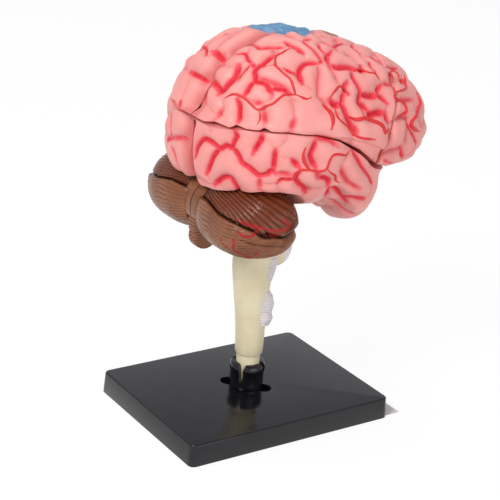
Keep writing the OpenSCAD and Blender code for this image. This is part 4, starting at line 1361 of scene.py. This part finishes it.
# Floor, light and camera
def studio():
    bpy.ops.mesh.primitive_plane_add(size=30, location=(0, 0, 0))
    floor = bpy.context.object
    floor.name = "floor"
    f = Finish("floorWhite")
    seen = f.node("ShaderNodeLightPath", None, None, "Is Camera Ray")
    glossy = f.node("ShaderNodeLightPath", None, None, "Is Glossy Ray")
    across = f.node("ShaderNodeVectorMath", {"operation": "ABSOLUTE"}, {0: f.place})
    apart = f.node("ShaderNodeSeparateXYZ", None, {0: across}, "X")
    beside = f.node("ShaderNodeSeparateXYZ", None, {0: across}, "Y")
    # under the base the floor stays dark, so that no white shows through the slot
    past = f.spread(apart, 0.042, 0.0425) + f.spread(beside, 0.031, 0.0315)
    clear = f.math("MINIMUM", past, 1.0)
    lit = f.node("ShaderNodeBsdfDiffuse", None, {"Color": (0.86, 0.86, 0.86, 1)})
    white = f.node("ShaderNodeEmission", None, {"Color": (1, 1, 1, 1), "Strength": 1.05})
    mixed = f.node("ShaderNodeMixShader", None, {0: (seen + glossy) * clear * 0.85, 1: lit, 2: white})
    f.tree.links.new(mixed.socket, f.out.inputs["Surface"])
    floor.data.materials.append(f.material)
    floor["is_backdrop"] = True

    world = bpy.data.worlds.new("studio")
    bpy.context.scene.world = world
    world.use_nodes = True
    tree = world.node_tree
    tree.nodes.clear()
    path = tree.nodes.new("ShaderNodeLightPath")
    either = tree.nodes.new("ShaderNodeMath")
    either.operation = "MAXIMUM"
    tree.links.new(path.outputs["Is Camera Ray"], either.inputs[0])
    tree.links.new(path.outputs["Is Glossy Ray"], either.inputs[1])
    soft = tree.nodes.new("ShaderNodeBackground")
    soft.inputs["Strength"].default_value = 0.4
    plain = tree.nodes.new("ShaderNodeBackground")
    plain.inputs["Color"].default_value = (1, 1, 1, 1)
    mirrored = tree.nodes.new("ShaderNodeBackground")
    mirrored.inputs["Color"].default_value = (0.94, 0.95, 1, 1)
    mirrored.inputs["Strength"].default_value = 0.66
    seen = tree.nodes.new("ShaderNodeMixShader")
    tree.links.new(path.outputs["Is Glossy Ray"], seen.inputs[0])
    tree.links.new(plain.outputs[0], seen.inputs[1])
    tree.links.new(mirrored.outputs[0], seen.inputs[2])
    soft.inputs["Color"].default_value = (1, 1, 1, 1)
    mix = tree.nodes.new("ShaderNodeMixShader")
    tree.links.new(either.outputs[0], mix.inputs[0])
    tree.links.new(soft.outputs[0], mix.inputs[1])
    tree.links.new(seen.outputs[0], mix.inputs[2])
    out = tree.nodes.new("ShaderNodeOutputWorld")
    tree.links.new(mix.outputs[0], out.inputs["Surface"])

    target = Vector((0, 0, 0.08))
    for name, place, size, power in (
        ("keyLight", (-0.9, -0.35, 0.9), 0.4, 8.5),
        ("fillLight", (0.1, -1.1, 0.15), 0.8, 4.2),
        ("topLight", (-0.1, 0.2, 1.2), 0.6, 3.4),
    ):
        lamp = bpy.data.lights.new(name, "AREA")
        lamp.size = size
        lamp.energy = power
        holder = bpy.data.objects.new(name, lamp)
        bpy.context.scene.collection.objects.link(holder)
        holder.location = place
        holder.rotation_euler = (target - holder.location).to_track_quat("-Z", "Y").to_euler()


view = {
    "eye": (-0.29822, -0.40422, 0.25741),
    "turn": -35.316,
    "down": 21.359,
    "roll": 4.73,
    "focalPixels": 1460.268,
    "imagePixels": 500,
}


def placeCamera():
    turn, down, roll = (math.radians(view[k]) for k in ("turn", "down", "roll"))
    back = Vector((math.sin(turn) * math.cos(down), -math.cos(turn) * math.cos(down), math.sin(down)))
    right = Vector((math.cos(turn), math.sin(turn), 0))
    up = back.cross(right)
    side = math.cos(roll) * right + math.sin(roll) * up
    top = -math.sin(roll) * right + math.cos(roll) * up
    camera = bpy.data.cameras.new("photoView")
    camera.lens = view["focalPixels"] / view["imagePixels"] * camera.sensor_width
    camera.clip_start = 0.01
    holder = bpy.data.objects.new("photoView", camera)
    bpy.context.scene.collection.objects.link(holder)
    holder.matrix_world = Matrix.Translation(view["eye"]) @ Matrix((side, top, back)).transposed().to_4x4()
    bpy.context.scene.camera = holder


studio()
placeCamera()
bpy.context.scene.view_settings.view_transform = "Standard"
print("studio and camera placed")

boxes = {"cad": cadBox, "scene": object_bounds()}
boxes = {name: [list(map(float, corner)) for corner in box] for name, box in boxes.items()}
